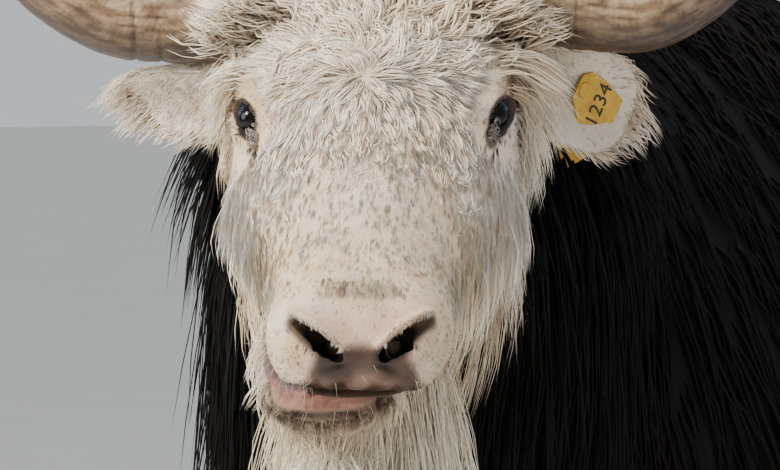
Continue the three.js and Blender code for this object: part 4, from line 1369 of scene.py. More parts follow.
LASH = plain("lash", (0.09, 0.07, 0.055), 0.7)
DIGITS = plain("digit_ink", (0.02, 0.017, 0.012), 0.6)
CRUST = GrainFinish(
    "crust",
    ((0.35, (0.05, 0.038, 0.028)), (0.55, (0.16, 0.13, 0.10)), (0.72, (0.42, 0.38, 0.32))),
    roughness=0.6,
    scale=700.0,
    detail=6.0,
    bump=(1500.0, 0.5, 0.0004),
)
TAG_PLASTIC = GrainFinish(
    "tag_plastic", ((0.3, (0.50, 0.27, 0.012)), (0.7, (0.72, 0.44, 0.03))), 0.42, scale=90.0, detail=6.0
)
TEETH = GrainFinish(
    "teeth", ((0.3, (0.42, 0.33, 0.2)), (0.65, (0.74, 0.68, 0.54))), 0.3, scale=260.0, detail=5.0, coat=0.3
)
FLOOR = GrainFinish(
    "floor", ((0.3, (0.74, 0.73, 0.715)), (0.7, (0.78, 0.77, 0.755))), 0.85, scale=3.0, specular=0.2
)


@dataclass(frozen=True)
class TintFinish:
    """A finish that takes its colour from the vertices."""

    name: str
    roughness: float
    specular: float

    def build(self) -> bpy.types.Material:
        """Make the material."""
        ink = Ink(self.name)
        ink.set(Base_Color=ink.read("Tint"), Roughness=self.roughness, Specular_IOR_Level=self.specular)
        return ink.material


WHITE_HAIR = TintFinish("white_hair", 0.66, 0.16)
BLACK_HAIR = TintFinish("black_hair", 0.66, 0.1)
WET_EYE = TintFinish("wet_eye", 0.07, 0.22)


@dataclass(frozen=True)
class HornFinish:
    """The dull finish of weathered horn over the colour of the vertices."""

    roughness: float = 0.42
    specular: float = 0.4

    def build(self) -> bpy.types.Material:
        """Make the material."""
        ink = Ink("horn")
        fine = ink.grain(320.0, 6.0)
        shade = ink.ramp(fine, [(0.3, (0.5, 0.47, 0.44)), (0.65, (1.1, 1.1, 1.1))])
        tone = ink.blend(ink.read("Tint"), shade, 0.7, "MULTIPLY")
        ink.set(Base_Color=tone, Roughness=self.roughness, Specular_IOR_Level=self.specular)
        ink.bump(fine, 0.5, 0.0006)
        return ink.material


@dataclass(frozen=True)
class HoofFinish:
    """The dark, ringed finish of the claws."""

    roughness: float = 0.5
    dark: Colour = (0.018, 0.015, 0.013)
    light: Colour = (0.055, 0.045, 0.038)

    def build(self) -> bpy.types.Material:
        """Make the material."""
        ink = Ink("hoof")
        links = {"Vector": ink.own(), "Scale": 38.0, "Distortion": 1.5, "Detail": 3.0}
        rings = ink.node("ShaderNodeTexWave", links, bands_direction="Z").outputs["Fac"]
        ink.set(Base_Color=ink.ramp(rings, [(0.1, self.dark), (0.9, self.light)]), Roughness=self.roughness)
        ink.bump(rings, 0.5, 0.0012)
        return ink.material


@dataclass(frozen=True)
class SkinFinish:
    """The finish of the skin: wet and pored on the muzzle, and a ground of hair elsewhere."""

    name: str = "skin"

    def build(self) -> bpy.types.Material:
        """Make the material."""
        ink = Ink(self.name)
        colour = ink.read("Tint")
        fine, broad = ink.grain(900.0, 3.0), ink.grain(160.0, 5.0)
        shade = ink.ramp(fine, [(0.25, (0.72, 0.72, 0.72)), (0.7, (1.08, 1.08, 1.08))])
        ink.set(Base_Color=ink.blend(colour, shade, 0.6, "MULTIPLY"))
        moist = ink.node("ShaderNodeAttribute", attribute_name="Moist").outputs["Fac"]
        rough = ink.node("ShaderNodeMapRange", {"Value": moist, "To Min": 0.78, "To Max": 0.42})
        shine = ink.node("ShaderNodeMapRange", {"Value": moist, "From Min": -1.0, "To Max": 0.3})
        ink.set(Roughness=rough.outputs["Result"], Specular_IOR_Level=shine.outputs["Result"])
        both = ink.node("ShaderNodeMath", {0: fine, 1: broad}, operation="ADD")
        ink.bump(both.outputs[0], 0.55, 0.0012)
        return ink.material


class Surface:
    """The triangles of a mesh, for planting hair."""

    def __init__(self, obj: bpy.types.Object, bearings: Bearings) -> None:
        """Read the mesh.

        Args:
            obj: A mesh object in the row frame.
            bearings: The way back to the drawing frame.
        """
        mesh = obj.data
        mesh.calc_loop_triangles()
        self.vertices = bearings.drawing(read(mesh.vertices, "co", 3).astype(float))
        self.normals = read(mesh.vertex_normals, "vector", 3).astype(float)
        self.tris = read(mesh.loop_triangles, "vertices", 3)
        self.part = read(mesh.polygons, "material_index")[read(mesh.loop_triangles, "polygon_index")]
        a, b, c = (self.vertices[self.tris[:, k]] for k in range(3))
        self.area = np.linalg.norm(np.cross(b - a, c - a), axis=1) / 2
        self.centre = (a + b + c) / 3

    def on(self, part: Part) -> Array:
        """Mark the triangles of one part with 1 and all others with 0."""
        return (self.part == part.value).astype(float)

    def plant(self, rng: np.random.Generator, count: int, weight: Array) -> tuple[Array, Array]:
        """Choose roots, more of them where the weight is higher.

        Args:
            rng: Seeded source of random numbers.
            count: How many roots.
            weight: Relative density of each triangle.

        Returns:
            Places and outward directions.
        """
        share = np.cumsum(self.area * weight)
        draws = (np.arange(count) + rng.random(count)) / count * share[-1]
        pick = np.clip(np.searchsorted(share, draws), 0, len(share) - 1)
        r1, r2 = np.sqrt(rng.random(count))[:, None], rng.random(count)[:, None]
        w = (1 - r1, r1 * (1 - r2), r1 * r2)
        tri = self.tris[pick]
        places = sum(w[k] * self.vertices[tri[:, k]] for k in range(3))
        normals = unit(sum(w[k] * self.normals[tri[:, k]] for k in range(3)))
        return places, normals


@dataclass(frozen=True)
class Growth:
    """How one kind of hair grows, in mm and shares."""

    segments: int
    width: float
    lift: float
    settle: float = 1.4
    droop: float = 0.0
    curl: float = 0.0
    turns: float = 0.0
    clump: float = 0.0
    clump_size: int = 8
    stray: float = 0.12
    flat: float = 0.55
    sink: float = 1.0
    painted_root_shade: float = 0.25
    variety: float = 0.1
    flecks: float = 0.0
    fullness: tuple[float, ...] = (1.0, 0.9, 0.62)


@dataclass
class Hair:
    """Roots ready to grow."""

    roots: Array
    normals: Array
    lies: Array
    lengths: Array
    colours: Array
    lifts: Array | float = 1.0


def grow(
    hair: Hair, how: Growth, rng: np.random.Generator, push: Callable[[Array], Array] | None = None
) -> tuple[Array, Array, Array, Array]:
    """Grow tapered strands of three sides.

    Args:
        hair: Roots, directions and sizes.
        how: The kind of hair.
        rng: Seeded source of random numbers.
        push: Moves places that are under the skin out of it.

    Returns:
        Vertices, triangles, colours at the vertices, and the share along the strand at the vertices.
    """
    count, m = len(hair.roots), how.segments
    stray = unit(rng.normal(size=(count, 3))) * how.stray * rng.random((count, 1)) * 2.0
    lie = unit(hair.lies + stray)
    lift = how.lift * (0.6 + 0.8 * rng.random((count, 1))) * np.reshape(hair.lifts, (-1, 1))
    path = [hair.roots - hair.normals * how.sink]
    step = (hair.lengths / m)[:, None]
    for j in range(m):
        t = (j + 0.5) / m
        heading = lie + hair.normals * lift * (1 - how.settle * t) + DOWN * how.droop * t
        spot = path[-1] + unit(heading) * step
        path.append(push(spot) if push else spot)
    if how.clump:
        leaders = rng.permutation(count)[: max(count // how.clump_size, 1)]
        tree = KDTree(len(leaders))
        for i, place in enumerate(hair.roots[leaders].tolist()):
            tree.insert(place, i)
        tree.balance()
        own = leaders[[tree.find(place)[1] for place in hair.roots.tolist()]]
        for j in range(1, m + 1):
            path[j] = mix(path[j], path[j][own], how.clump * (j / m) ** 1.2)
    side0 = unit(np.cross(lie, hair.normals))
    if how.curl:
        phase = rng.random((count, 1)) * 2 * math.pi
        if how.clump:
            phase = phase[own] + 0.5 * rng.random((count, 1))
        amount = how.curl * (0.6 + 0.8 * rng.random((count, 1)))
        for j in range(1, m + 1):
            t = j / m
            angle = phase + 2 * math.pi * how.turns * t
            swing = amount * min(1.0, 2.0 * t)
            path[j] = path[j] + swing * (np.cos(angle) * side0 + 0.6 * np.sin(angle) * hair.normals)
    vertices = np.empty((count, 3 * m + 1, 3))
    along = np.empty(3 * m + 1)
    size = (how.width * (0.7 + 0.6 * rng.random((count, 1)))) / 2
    for j in range(m):
        run = unit(path[j + 1] - path[max(j - 1, 0)])
        side = unit(np.cross(run, hair.normals))
        out = np.cross(side, run)
        stops = np.linspace(0, 1, len(how.fullness) + 1)[:-1]
        full = size * float(np.interp(j / m, stops, how.fullness))
        for k, (a, b) in enumerate(((1.0, -0.35), (-1.0, -0.35), (0.0, 0.9))):
            vertices[:, 3 * j + k] = path[j] + side * full * a + out * full * b * how.flat
            along[3 * j + k] = j / m
    vertices[:, -1] = path[m]
    along[-1] = 1.0
    pattern = [(0, 1, 2)]
    for j in range(m - 1):
        for k in range(3):
            a, b = 3 * j + k, 3 * j + (k + 1) % 3
            pattern += [(a, a + 3, b), (b, a + 3, b + 3)]
    for k in range(3):
        pattern.append((3 * (m - 1) + k, 3 * m, 3 * (m - 1) + (k + 1) % 3))
    tris = (np.arange(count)[:, None, None] * (3 * m + 1) + np.array(pattern)[None]).reshape(-1, 3)
    # Painted shade: each strand is laid darker and browner at the root, deep in the coat, and lighter at the
    # tip.
    light = 1 - how.painted_root_shade + 2 * how.painted_root_shade * along[None, :, None]
    light = light * mix(np.array([1.0, 0.93, 0.83]), np.ones(3), along[:, None])[None]
    vary = 1 + how.variety * rng.normal(size=(count, 1, 1))
    vary = np.where(rng.random((count, 1, 1)) < how.flecks, np.array([0.42, 0.36, 0.3]), vary)
    colours = np.clip(hair.colours[:, None, :] * light * vary, 0.002, 0.95)
    return vertices.reshape(-1, 3), tris, colours.reshape(-1, 3), np.tile(along, count)


@dataclass
class Coat:
    """All the hair, in pieces by region."""

    bearings: Bearings
    surface: Surface
    head: HeadForm
    body: BodyForm
    markings: Markings
    ears: list[EarForm]
    whorl: tuple[float, float] = (12.0, -3.0)

    def __post_init__(self) -> None:
        """Make the finishes, and read where the skin lies and which of the head's is haired."""
        self.white, self.dark = WHITE_HAIR.build(), BLACK_HAIR.build()
        self.face = self.bearings.face(self.surface.centre)
        self.haired = self.surface.on(Part.HEAD) * (1.0 - self.bare(self.face))

    def unwrap(self, roots: Array, part: Part) -> Array:
        """Unroll the skin's own shape into the unit square.

        Args:
            roots: Drawing places.
            part: Which form they grow on.

        Returns:
            Two coordinates from 0 to 1 for each.
        """
        if part is Part.HEAD:
            s, u, n = self.bearings.face(roots).T
            return np.stack([0.5 + np.arctan2(u, n + 70.0) / (2 * math.pi), (s + 200.0) / 490.0], axis=1)
        if part is Part.EAR:
            left, right = (ear.own(roots) for ear in self.ears)
            near = (np.linalg.norm(left, axis=1) < np.linalg.norm(right, axis=1))[:, None]
            q = np.where(near, left, right)
            turn = np.arctan2(q[:, 1], q[:, 2] - 20.0) / (4 * math.pi) + np.where(near[:, 0], 0.25, 0.75)
            return np.stack([turn, (q[:, 0] + 20.0) / 190.0], axis=1)
        x, y, z = roots.T
        return np.stack([0.5 + np.arctan2(x, z - 640.0) / (2 * math.pi), (y + 960.0) / 1860.0], axis=1)

    def sow(self, seed: int, count: int, weight: Array) -> tuple[np.random.Generator, Array, Array]:
        """Plant roots with random numbers of their own.

        Args:
            seed: Picks the random draws.
            count: How many roots.
            weight: Relative density of each triangle.

        Returns:
            The source of random numbers for what follows, the roots and their outward directions.
        """
        rng = np.random.default_rng(seed)
        return rng, *self.surface.plant(rng, count, weight)

    def piece(
        self,
        name: str,
        hair: Hair,
        how: Growth,
        part: Part,
        seed: int,
        push: Callable[[Array], Array] | None = None,
    ) -> None:
        """Grow one coat piece and dress it.

        Args:
            name: The piece's name.
            hair: Roots ready to grow.
            how: The kind of hair.
            part: The form that it grows on.
            seed: Picks the random draws.
            push: Moves places that are under the skin out of it.
        """
        rng = np.random.default_rng(seed)
        vertices, tris, colours, along = grow(hair, how, rng, push)
        obj = mesh_object(name, self.bearings.row(vertices), tris)
        set_attribute(obj, "Tint", colours)
        each = 3 * how.segments + 1
        base = np.repeat(np.clip(self.unwrap(hair.roots, part), 0.002, 0.995), each, axis=0)
        ring = np.tile(np.append(np.tile([0.0, 1.0, 0.5], how.segments), 0.5), len(hair.roots))
        uv = base + 0.003 * np.stack([ring - 0.5, along - 0.5], axis=1)
        layer = obj.data.uv_layers.new(name="OFBake")
        layer.data.foreach_set("uv", uv[tris.ravel()].astype(np.float32).ravel())
        white = part is not Part.BODY
        obj.data.materials.append(self.white if white else self.dark)
        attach(obj, "root")
        LOG.info("%s: %d tufts, %d triangles", name, len(hair.roots), len(tris))

    def face_lie(self, points: Array) -> Array:
        """Give the way the hair lies on the head: out from the whorl, down the nose, and down the cheeks.

        Args:
            points: Drawing places.

        Returns:
            One direction for each.
        """
        b = self.bearings
        s, u, n = b.face(points).T
        ds, du = s - self.whorl[0], u - self.whorl[1]
        away = np.sqrt(ds * ds + du * du) + 1e-6
        bias = ease(-60, 60, s)
        flow = np.stack([ds / away + 0.75 * bias, du / away * (1 - 0.25 * bias)], axis=1)
        flow = flow + 0.30 * np.stack([noise(points, 20.0, 7), noise(points, 20.0, 8)], axis=1)
        radial = flow[:, :1] * b.noseward + flow[:, 1:] * b.left
        drop = DOWN - 0.25 * b.forward + 0.2 * b.noseward
        side = ease(-5, -75, n)[:, None]
        lies = unit(mix(unit(radial), unit(drop[None, :]), side))
        ahead, apart = self.head.eye_front
        for hand in (LEFT, RIGHT):
            da, dv = s - ahead, u - hand * apart
            near = np.hypot(da, dv) + 1e-6
            spread = (da / near)[:, None] * b.noseward + (dv / near)[:, None] * b.left
            lies = lies + 1.5 * ease(42, 18, near)[:, None] * spread
        return unit(lies)

    def on_surface(self, lies: Array, normals: Array) -> Array:
        """Turn directions into the surface."""
        return unit(lies - np.sum(lies * normals, axis=1, keepdims=True) * normals)

    def bare(self, face: Array) -> Array:
        """Tell how bare the head's skin is: 1 on the planum, lips, lids and in the openings.

        Args:
            face: Face coordinates.

        Returns:
            A share for each.
        """
        s, u, n = face.T
        nose = ease(250, 260, s) * ease(-2, -10, n)
        nose = nose * ease(42, 34, self.head.off_middle(u))
        lips = ease(180, 200, s) * band(n, -88, -85, -64, -58)
        made = np.maximum(nose, lips)
        for side in (LEFT, RIGHT):
            a, c, out = self.head.eye_place(face, side).T
            rim = np.sqrt(((a - 1.0) / 15.4) ** 2 + (c / 10.0) ** 2)
            made = np.maximum(made, ease(1.2, 1.05, rim) * ease(2, 8, out))
            pit = ((a - 20.0) / 8.5) ** 2 + ((c + 1.0) / 5.0) ** 2
            made = np.maximum(made, ease(1.3, 0.9, pit) * ease(2, 8, out))
        return np.maximum(made, ease(8.5, 6.5, self.head.hole(face)))

    def grow_face(self) -> None:
        """Plant the short hair of the face, in three bands."""
        s, _, n = self.face.T
        base = self.haired * ease(-170, -120, n)
        front = base * ease(-72, -44, s) * ease(-105, -66, n)
        front = front * mix(1.0, 1.7, ease(150, 220, s))
        chin = base * ease(190, 205, s) * ease(-86, -92, n)
        brow = Growth(1, 1.0, 0.22, clump=0.62, clump_size=15, painted_root_shade=0.34, variety=0.12, flecks=0.05)
        nose = Growth(
            1, 0.95, 0.22, clump=0.55, clump_size=13, stray=0.14, painted_root_shade=0.34, variety=0.13, flecks=0.06
        )
        muzzle = Growth(
            1, 0.9, 0.3, clump=0.5, clump_size=10, stray=0.2, painted_root_shade=0.4, variety=0.2, flecks=0.07
        )
        bands = (
            ("face_brow", front * (s < 48.0), brow),
            ("face_nose", front * ((s >= 48.0) & (s < 150.0)), nose),
            ("face_muzzle", np.maximum(front * (s >= 150.0), 1.4 * chin), muzzle),
        )
        for seed, (name, weight, how) in enumerate(bands, start=41):
            rng, roots, normals = self.sow(seed, 34000, weight)
            face = self.bearings.face(roots)
            a, v, d = face.T
            crease = ease(38, 26, self.head.off_middle(v)) * band(a, 212, 220, 226, 231)
            length = 13.0 + 6.0 * ease(130, 60, a) + 6.0 * ease(60, -10, a)
            length = length - 7.5 * ease(160, 236, a) + 7.0 * crease
            length = length + 16.0 * ease(0, -60, d) * ease(220, 170, a)
            length = length + 6.0 * ease(-88, -100, d) * ease(190, 210, a)
            length = length * (0.6 + 0.8 * rng.random(len(roots)))
            length = length * (0.36 + 0.64 * ease(15, 36, self.head.near_eye(face)))
            lies = self.on_surface(self.face_lie(roots), normals)
            lifts = 1.0 + 1.4 * ease(5, -55, d) + 0.8 * ease(70, -10, a) + 1.2 * crease
            lifts = lifts + 0.6 * noise(roots, 15.0, 43)
            streaks = 0.97 - 0.07 * ease(40, 110, a)
            streaks = streaks + 0.42 * noise(roots, 2.6, 45) + 0.26 * noise(roots, 6.0, 46)
            shade = np.clip(streaks, 0.35, 1.25)[:, None] ** np.array([1.0, 1.15, 1.35])
            colours = self.markings.head_colour(roots, False) * shade
            self.piece(name, Hair(roots, normals, lies, length, colours, lifts), how, Part.HEAD, seed)

    def grow_tufts(self) -> None:
        """Plant the loose tufts that fan out from the whorl over the forehead and down the nose."""
        s, u, n = self.face.T
        weight = self.haired * band(s, -45, -25, -10, 155)
        weight = weight * ease(98, 66, np.abs(u)) * (n > -20)
        rng, roots, normals = self.sow(47, 5200, weight)
        face = self.bearings.face(roots)
        length = mix(7.0, 26.0, ease(150, 0, face[:, 0])) * (0.6 + 0.8 * rng.random(len(roots)))
        length = length * (0.25 + 0.75 * ease(20, 46, self.head.near_eye(face)))
        lies = self.on_surface(self.face_lie(roots), normals)
        colours, lifts = self.markings.head_colour(roots, False), 1.0 + 0.8 * noise(roots, 16.0, 44)
        how = Growth(
            4, 1.5, 0.34, 1.3, curl=1.4, turns=0.8, clump=0.72, clump_size=13, stray=0.2, painted_root_shade=0.45,
            flecks=0.05,
        )
        self.piece("forehead_tufts", Hair(roots, normals, lies, length, colours, lifts), how, Part.HEAD, 48)

    def grow_wool(self) -> None:
        """Plant the curly wool of the poll, which swells out over the roots of the horns."""
        s, u, n = self.face.T
        edge = 14.0 - 62.0 * ease(44, 88, np.abs(u)) + 12.0 * noise(self.surface.centre, 20.0, 53)
        skin = self.surface.on(Part.HEAD)
        wool = skin * ease(0, -22, s - edge) * ease(-130, -70, n)
        seen = ease(-165, -125, s)
        pieces = (("poll_wool_front", wool * seen, 5800), ("poll_wool_back", wool * (1.02 - seen), 1200))
        for seed, (name, weight, count) in enumerate(pieces, start=51):
            rng, roots, normals = self.sow(seed, count, weight)
            a, v, d = self.bearings.face(roots).T
            length = mix(24.0, 64.0, ease(10, -95, a)) * (0.7 + 0.6 * rng.random(len(roots)))
            side = ease(60, 108, np.abs(v)) * ease(-70, -20, d)
            aside = np.sign(v)[:, None] * self.bearings.left
            lies = self.on_surface(unit(self.face_lie(roots) + 0.8 * side[:, None] * aside), normals)
            colours = self.markings.head_colour(roots, False)
            hair = Hair(roots, normals, lies, length, colours, 1.0 + 0.7 * side)
            how = Growth(
                6, 2.15, 0.55, 1.25, 0.12, curl=4.4, turns=1.4, clump=0.72, clump_size=18, sink=2.0,
                stray=0.2, painted_root_shade=0.42, variety=0.12, fullness=(1.0, 1.0, 0.9, 0.6),
            )
            self.piece(name, hair, how, Part.HEAD, seed + 4)
        weight = skin * ease(62, 80, np.abs(u)) * band(s, -185, -165, -76, -64)
        rng, roots, normals = self.sow(57, 2500, weight * ease(-8, 14, n))
        v = self.bearings.face(roots)[:, 1]
        aside = np.sign(v)[:, None] * self.bearings.left
        lies = unit(aside + 0.12 * self.bearings.noseward + 0.75 * self.bearings.browward)
        length = 50.0 + 26.0 * rng.random(len(roots))
        hair = Hair(roots, normals, lies, length, self.markings.head_colour(roots, False))
        how = Growth(
            6, 2.3, 0.1, 1.0, 0.25, curl=5.2, turns=1.4, clump=0.6, clump_size=12, sink=2.0, stray=0.32,
            painted_root_shade=0.4, fullness=(1.0, 1.0, 0.9, 0.6),
        )
        self.piece("horn_wool", hair, how, Part.HEAD, 58)

    def grow_cheeks(self) -> None:
        """Plant the longer hair of temples and cheeks."""
        s, u, n = self.face.T
        weight = self.haired * band(n, -175, -130, -75, -28) * ease(222, 190, s)
        temple = self.haired * ease(6, -30, s) * ease(86, 100, np.abs(u))
        temple = 2.0 * temple * ease(-90, -50, n) * ease(-150, -110, s)
        rng, roots, normals = self.sow(61, 4800, np.maximum(weight, temple))
        a, v, d = self.bearings.face(roots).T
        length = (40.0 + 38.0 * ease(-60, -140, d)) * (0.6 + 0.8 * rng.random(len(roots)))
        length = length * (1.0 - 0.5 * ease(140, 215, a)) * (1.0 + 0.35 * ease(20, 80, v))
        length = length + 34.0 * ease(-10, -50, a) * ease(-70, -30, d)
        hang = DOWN - 0.15 * self.bearings.forward + 0.35 * np.sign(v)[:, None] * self.bearings.left
        lies = self.on_surface(unit(self.face_lie(roots) + 0.7 * hang), normals)
        hair = Hair(roots, normals, lies, length, self.markings.head_colour(roots, False))
        how = Growth(
            4, 1.6, 0.55, 1.25, 0.5, curl=3.0, turns=0.9, clump=0.6, clump_size=12, sink=2.0, painted_root_shade=0.32
        )
        self.piece("cheek_hair", hair, how, Part.HEAD, 62, self.off_head)

    def grow_beard(self) -> None:
        """Plant the long white hair under the jaw and down the throat."""
        s, u, n = self.face.T
        weight = self.haired * ease(-120, -150, n) * band(s, -30, 20, 196, 226)
        weight = weight * ease(66, 44, np.abs(u + 8.0))
        rng, roots, normals = self.sow(65, 3500, weight)
        a = self.bearings.face(roots)[:, 0]
        length = mix(200.0, 60.0, ease(90, 225, a)) * (0.65 + 0.7 * rng.random(len(roots)))
        hang = DOWN + 0.12 * self.bearings.forward + 0.12 * rng.normal(size=roots.shape)
        lies = unit(hang + 0.15 * normals)
        # The beard's own white, made 1.14 times brighter as painted light against the shade under the jaw.
        bright = np.array(self.markings.palette.bright)
        colours = 1.14 * mix(self.markings.head_colour(roots, False), bright, 0.85)
        hair = Hair(roots, normals, lies, length, colours)
        how = Growth(
            5, 1.35, 0.1, 1.3, 0.5, curl=6.5, turns=0.9, clump=0.56, clump_size=16, sink=3.0, painted_root_shade=0.1
        )
        self.piece("beard", hair, how, Part.HEAD, 66)

    @staticmethod
    def pushed(points: Array, shape: Shape, reach: float, gap: float) -> Array:
        """Move places that lie under a form out of it.

        Args:
            points: Places in the form's own coordinates.
            shape: The form's distance field.
            reach: Distance over which its slope is read.
            gap: Distance from the form that places keep.

        Returns:
            The moved places.
        """
        d = shape(*points.T)
        slope = np.stack([shape(*(points + reach * axis).T) - d for axis in np.eye(3)], axis=1)
        return points + unit(slope) * np.maximum(gap - d, 0.0)[:, None]

    def off_head(self, points: Array) -> Array:
        """Move places that lie under the head's skin out to it."""
        face = self.bearings.face(points)
        return self.bearings.place(self.pushed(face, self.head.plain, 2.0, 2.0))

    def off_body(self, points: Array) -> Array:
        """Move places that lie under the body's skin out to it, and keep them off the floor."""
        moved = self.pushed(points, self.body.plain, 3.0, 5.0)
        moved[:, 2] = np.maximum(moved[:, 2], 12.0)
        return moved

    def grow_body(self) -> None:
        """Plant the black coat: short on the back, and falling in a skirt from flanks and belly."""
        x, y, z = self.surface.centre.T
        tail = ease(730, 800, y) * ease(120, 60, np.abs(x))
        high = self.surface.on(Part.BODY) * (z > 430.0) * (1.0 - tail)
        halves = {"coat_left": high * (x > 0), "coat_right": high * (x <= 0)}
        for seed, (name, weight) in enumerate(halves.items(), start=71):
            throat = ease(-560, -660, y)
            rng, roots, normals = self.sow(seed, 7000, weight * (1.0 + 2.0 * throat))
            a, b, c = roots.T
            low = ease(1050, 720, c)
            under = ease(0.2, -0.4, normals[:, 2])
            length = (95.0 + 115.0 * low + 80.0 * under) * (0.75 + 0.5 * rng.random(len(roots)))
            neck = ease(-560, -660, b)
            length = np.minimum(length * (1.0 + 0.7 * neck), np.maximum(c - 175.0, 60.0))
            lean = np.stack([0.0 * a, 0.35 - 0.3 * neck, -1.0 + 0.0 * a], axis=1)
            off_side = neck * ease(-40, -110, self.bearings.face(roots)[:, 1])
            lean = lean - 0.16 * off_side[:, None] * self.bearings.left
            lies = self.on_surface(unit(lean + 0.10 * rng.normal(size=lean.shape)), normals)
            hair = Hair(roots, normals, lies, length, self.markings.body_colour(roots), 1.0 + 1.6 * neck)
            how = Growth(
                3, 5.6, 0.16, 1.3, 1.0, curl=4.0, turns=0.5, clump=0.4, clump_size=9, sink=5.0, painted_root_shade=0.3,
                stray=0.08,
            )
            self.piece(name, hair, how, Part.BODY, seed + 10, self.off_body)

    def grow_ruff(self) -> None:
        """Plant the longest black hair on the side of the neck, behind the head."""
        _, y, z = self.surface.centre.T
        weight = self.surface.on(Part.BODY) * ease(-600, -680, y)
        weight = weight * ease(-50, -90, self.face[:, 1]) * ease(1210, 1120, z)
        rng, roots, normals = self.sow(98, 2000, weight)
        length = 270.0 + 90.0 * rng.random(len(roots))
        way = unit(DOWN - 0.02 * self.bearings.left - 0.05 * self.bearings.forward)
        lies = unit(way + 0.06 * rng.normal(size=roots.shape))
        hair = Hair(roots, normals, lies, length, self.markings.body_colour(roots))
        how = Growth(5, 4.2, 0.1, 1.2, 0.25, curl=5.0, turns=0.6, clump=0.4, sink=5.0, stray=0.06)
        self.piece("ruff_hair", hair, how, Part.BODY, 99, self.off_body)

    def grow_legs(self) -> None:
        """Plant the hair of the legs."""
        z = self.surface.centre[:, 2]
        rng, roots, normals = self.sow(91, 4200, self.surface.on(Part.BODY) * (z < 560.0) * (z > 62.0))
        length = mix(16.0, 70.0, ease(200, 520, roots[:, 2])) * (0.7 + 0.6 * rng.random(len(roots)))
        lies = self.on_surface(DOWN + 0.1 * rng.normal(size=roots.shape), normals)
        hair = Hair(roots, normals, lies, length, self.markings.body_colour(roots))
        self.piece("leg_hair", hair, Growth(2, 4.0, 0.25, 1.2, 0.3, clump=0.4, sink=2.0), Part.BODY, 92)

    def grow_tail(self) -> None:
        """Plant the long hair of the tail."""
        x, y, z = self.surface.centre.T
        weight = self.surface.on(Part.BODY) * ease(745, 800, y) * (np.abs(x) < 75.0)
        rng, roots, normals = self.sow(95, 1500, weight * ease(1040, 900, z))
        length = np.minimum(230.0 + 160.0 * rng.random(len(roots)), roots[:, 2] - 190.0)
        lies = self.on_surface(DOWN + 0.08 * rng.normal(size=roots.shape), normals)
        hair = Hair(roots, normals, lies, length, self.markings.body_colour(roots))
        how = Growth(6, 5.0, 0.3, 1.0, 1.2, curl=6.0, turns=1.0, clump=0.5, sink=3.0)
        self.piece("tail_hair", hair, how, Part.BODY, 96)

    def grow_ears(self) -> None:
        """Plant short hair on the ears and long hair in them and on their rims."""
        mask = self.surface.on(Part.EAR)
        rng = np.random.default_rng(101)
        for ear, name in zip(self.ears, ("ear_left_hair", "ear_right_hair")):
            own = ear.own(self.surface.centre)
            near = (np.linalg.norm(own - np.array([70.0, 0.0, 0.0]), axis=1) < 130.0).astype(float)
            roots, normals = self.surface.plant(rng, 2700, mask * near)
            d, w, _ = ear.own(roots).T
            inside = held(normals @ ear.hollow)
            across = np.abs(w) / np.maximum(ear.stations.at(d)[0], 1.0)
            rim = held(ease(0.7, 0.98, across) + ease(128, 146, d))
            length = 16.0 + 26.0 * rim + 22.0 * inside * ease(70, 20, d)
            length = length * (0.7 + 0.6 * rng.random(len(roots)))
            if ear.hand is Hand.LEFT:
                tagged = ease(46, 34, np.abs(w - 6.0)) * ease(56, 74, d) * (inside > 0.15)
                length = length * (1.0 - 0.6 * tagged)
            swirl = ear.point * 0.85 + 0.3 * DOWN
            lies = self.on_surface(unit(swirl + 0.16 * rng.normal(size=roots.shape)), normals)
            hair = Hair(roots, normals, lies, length, self.markings.ear_colour(roots), 1.0 + 0.6 * rim)
            how = Growth(3, 1.5, 0.26, 1.2, 0.3, curl=2.2, turns=0.6, clump=0.5, clump_size=9, painted_root_shade=0.12)
            self.piece(name, hair, how, Part.EAR, 102 + ear.hand.value)


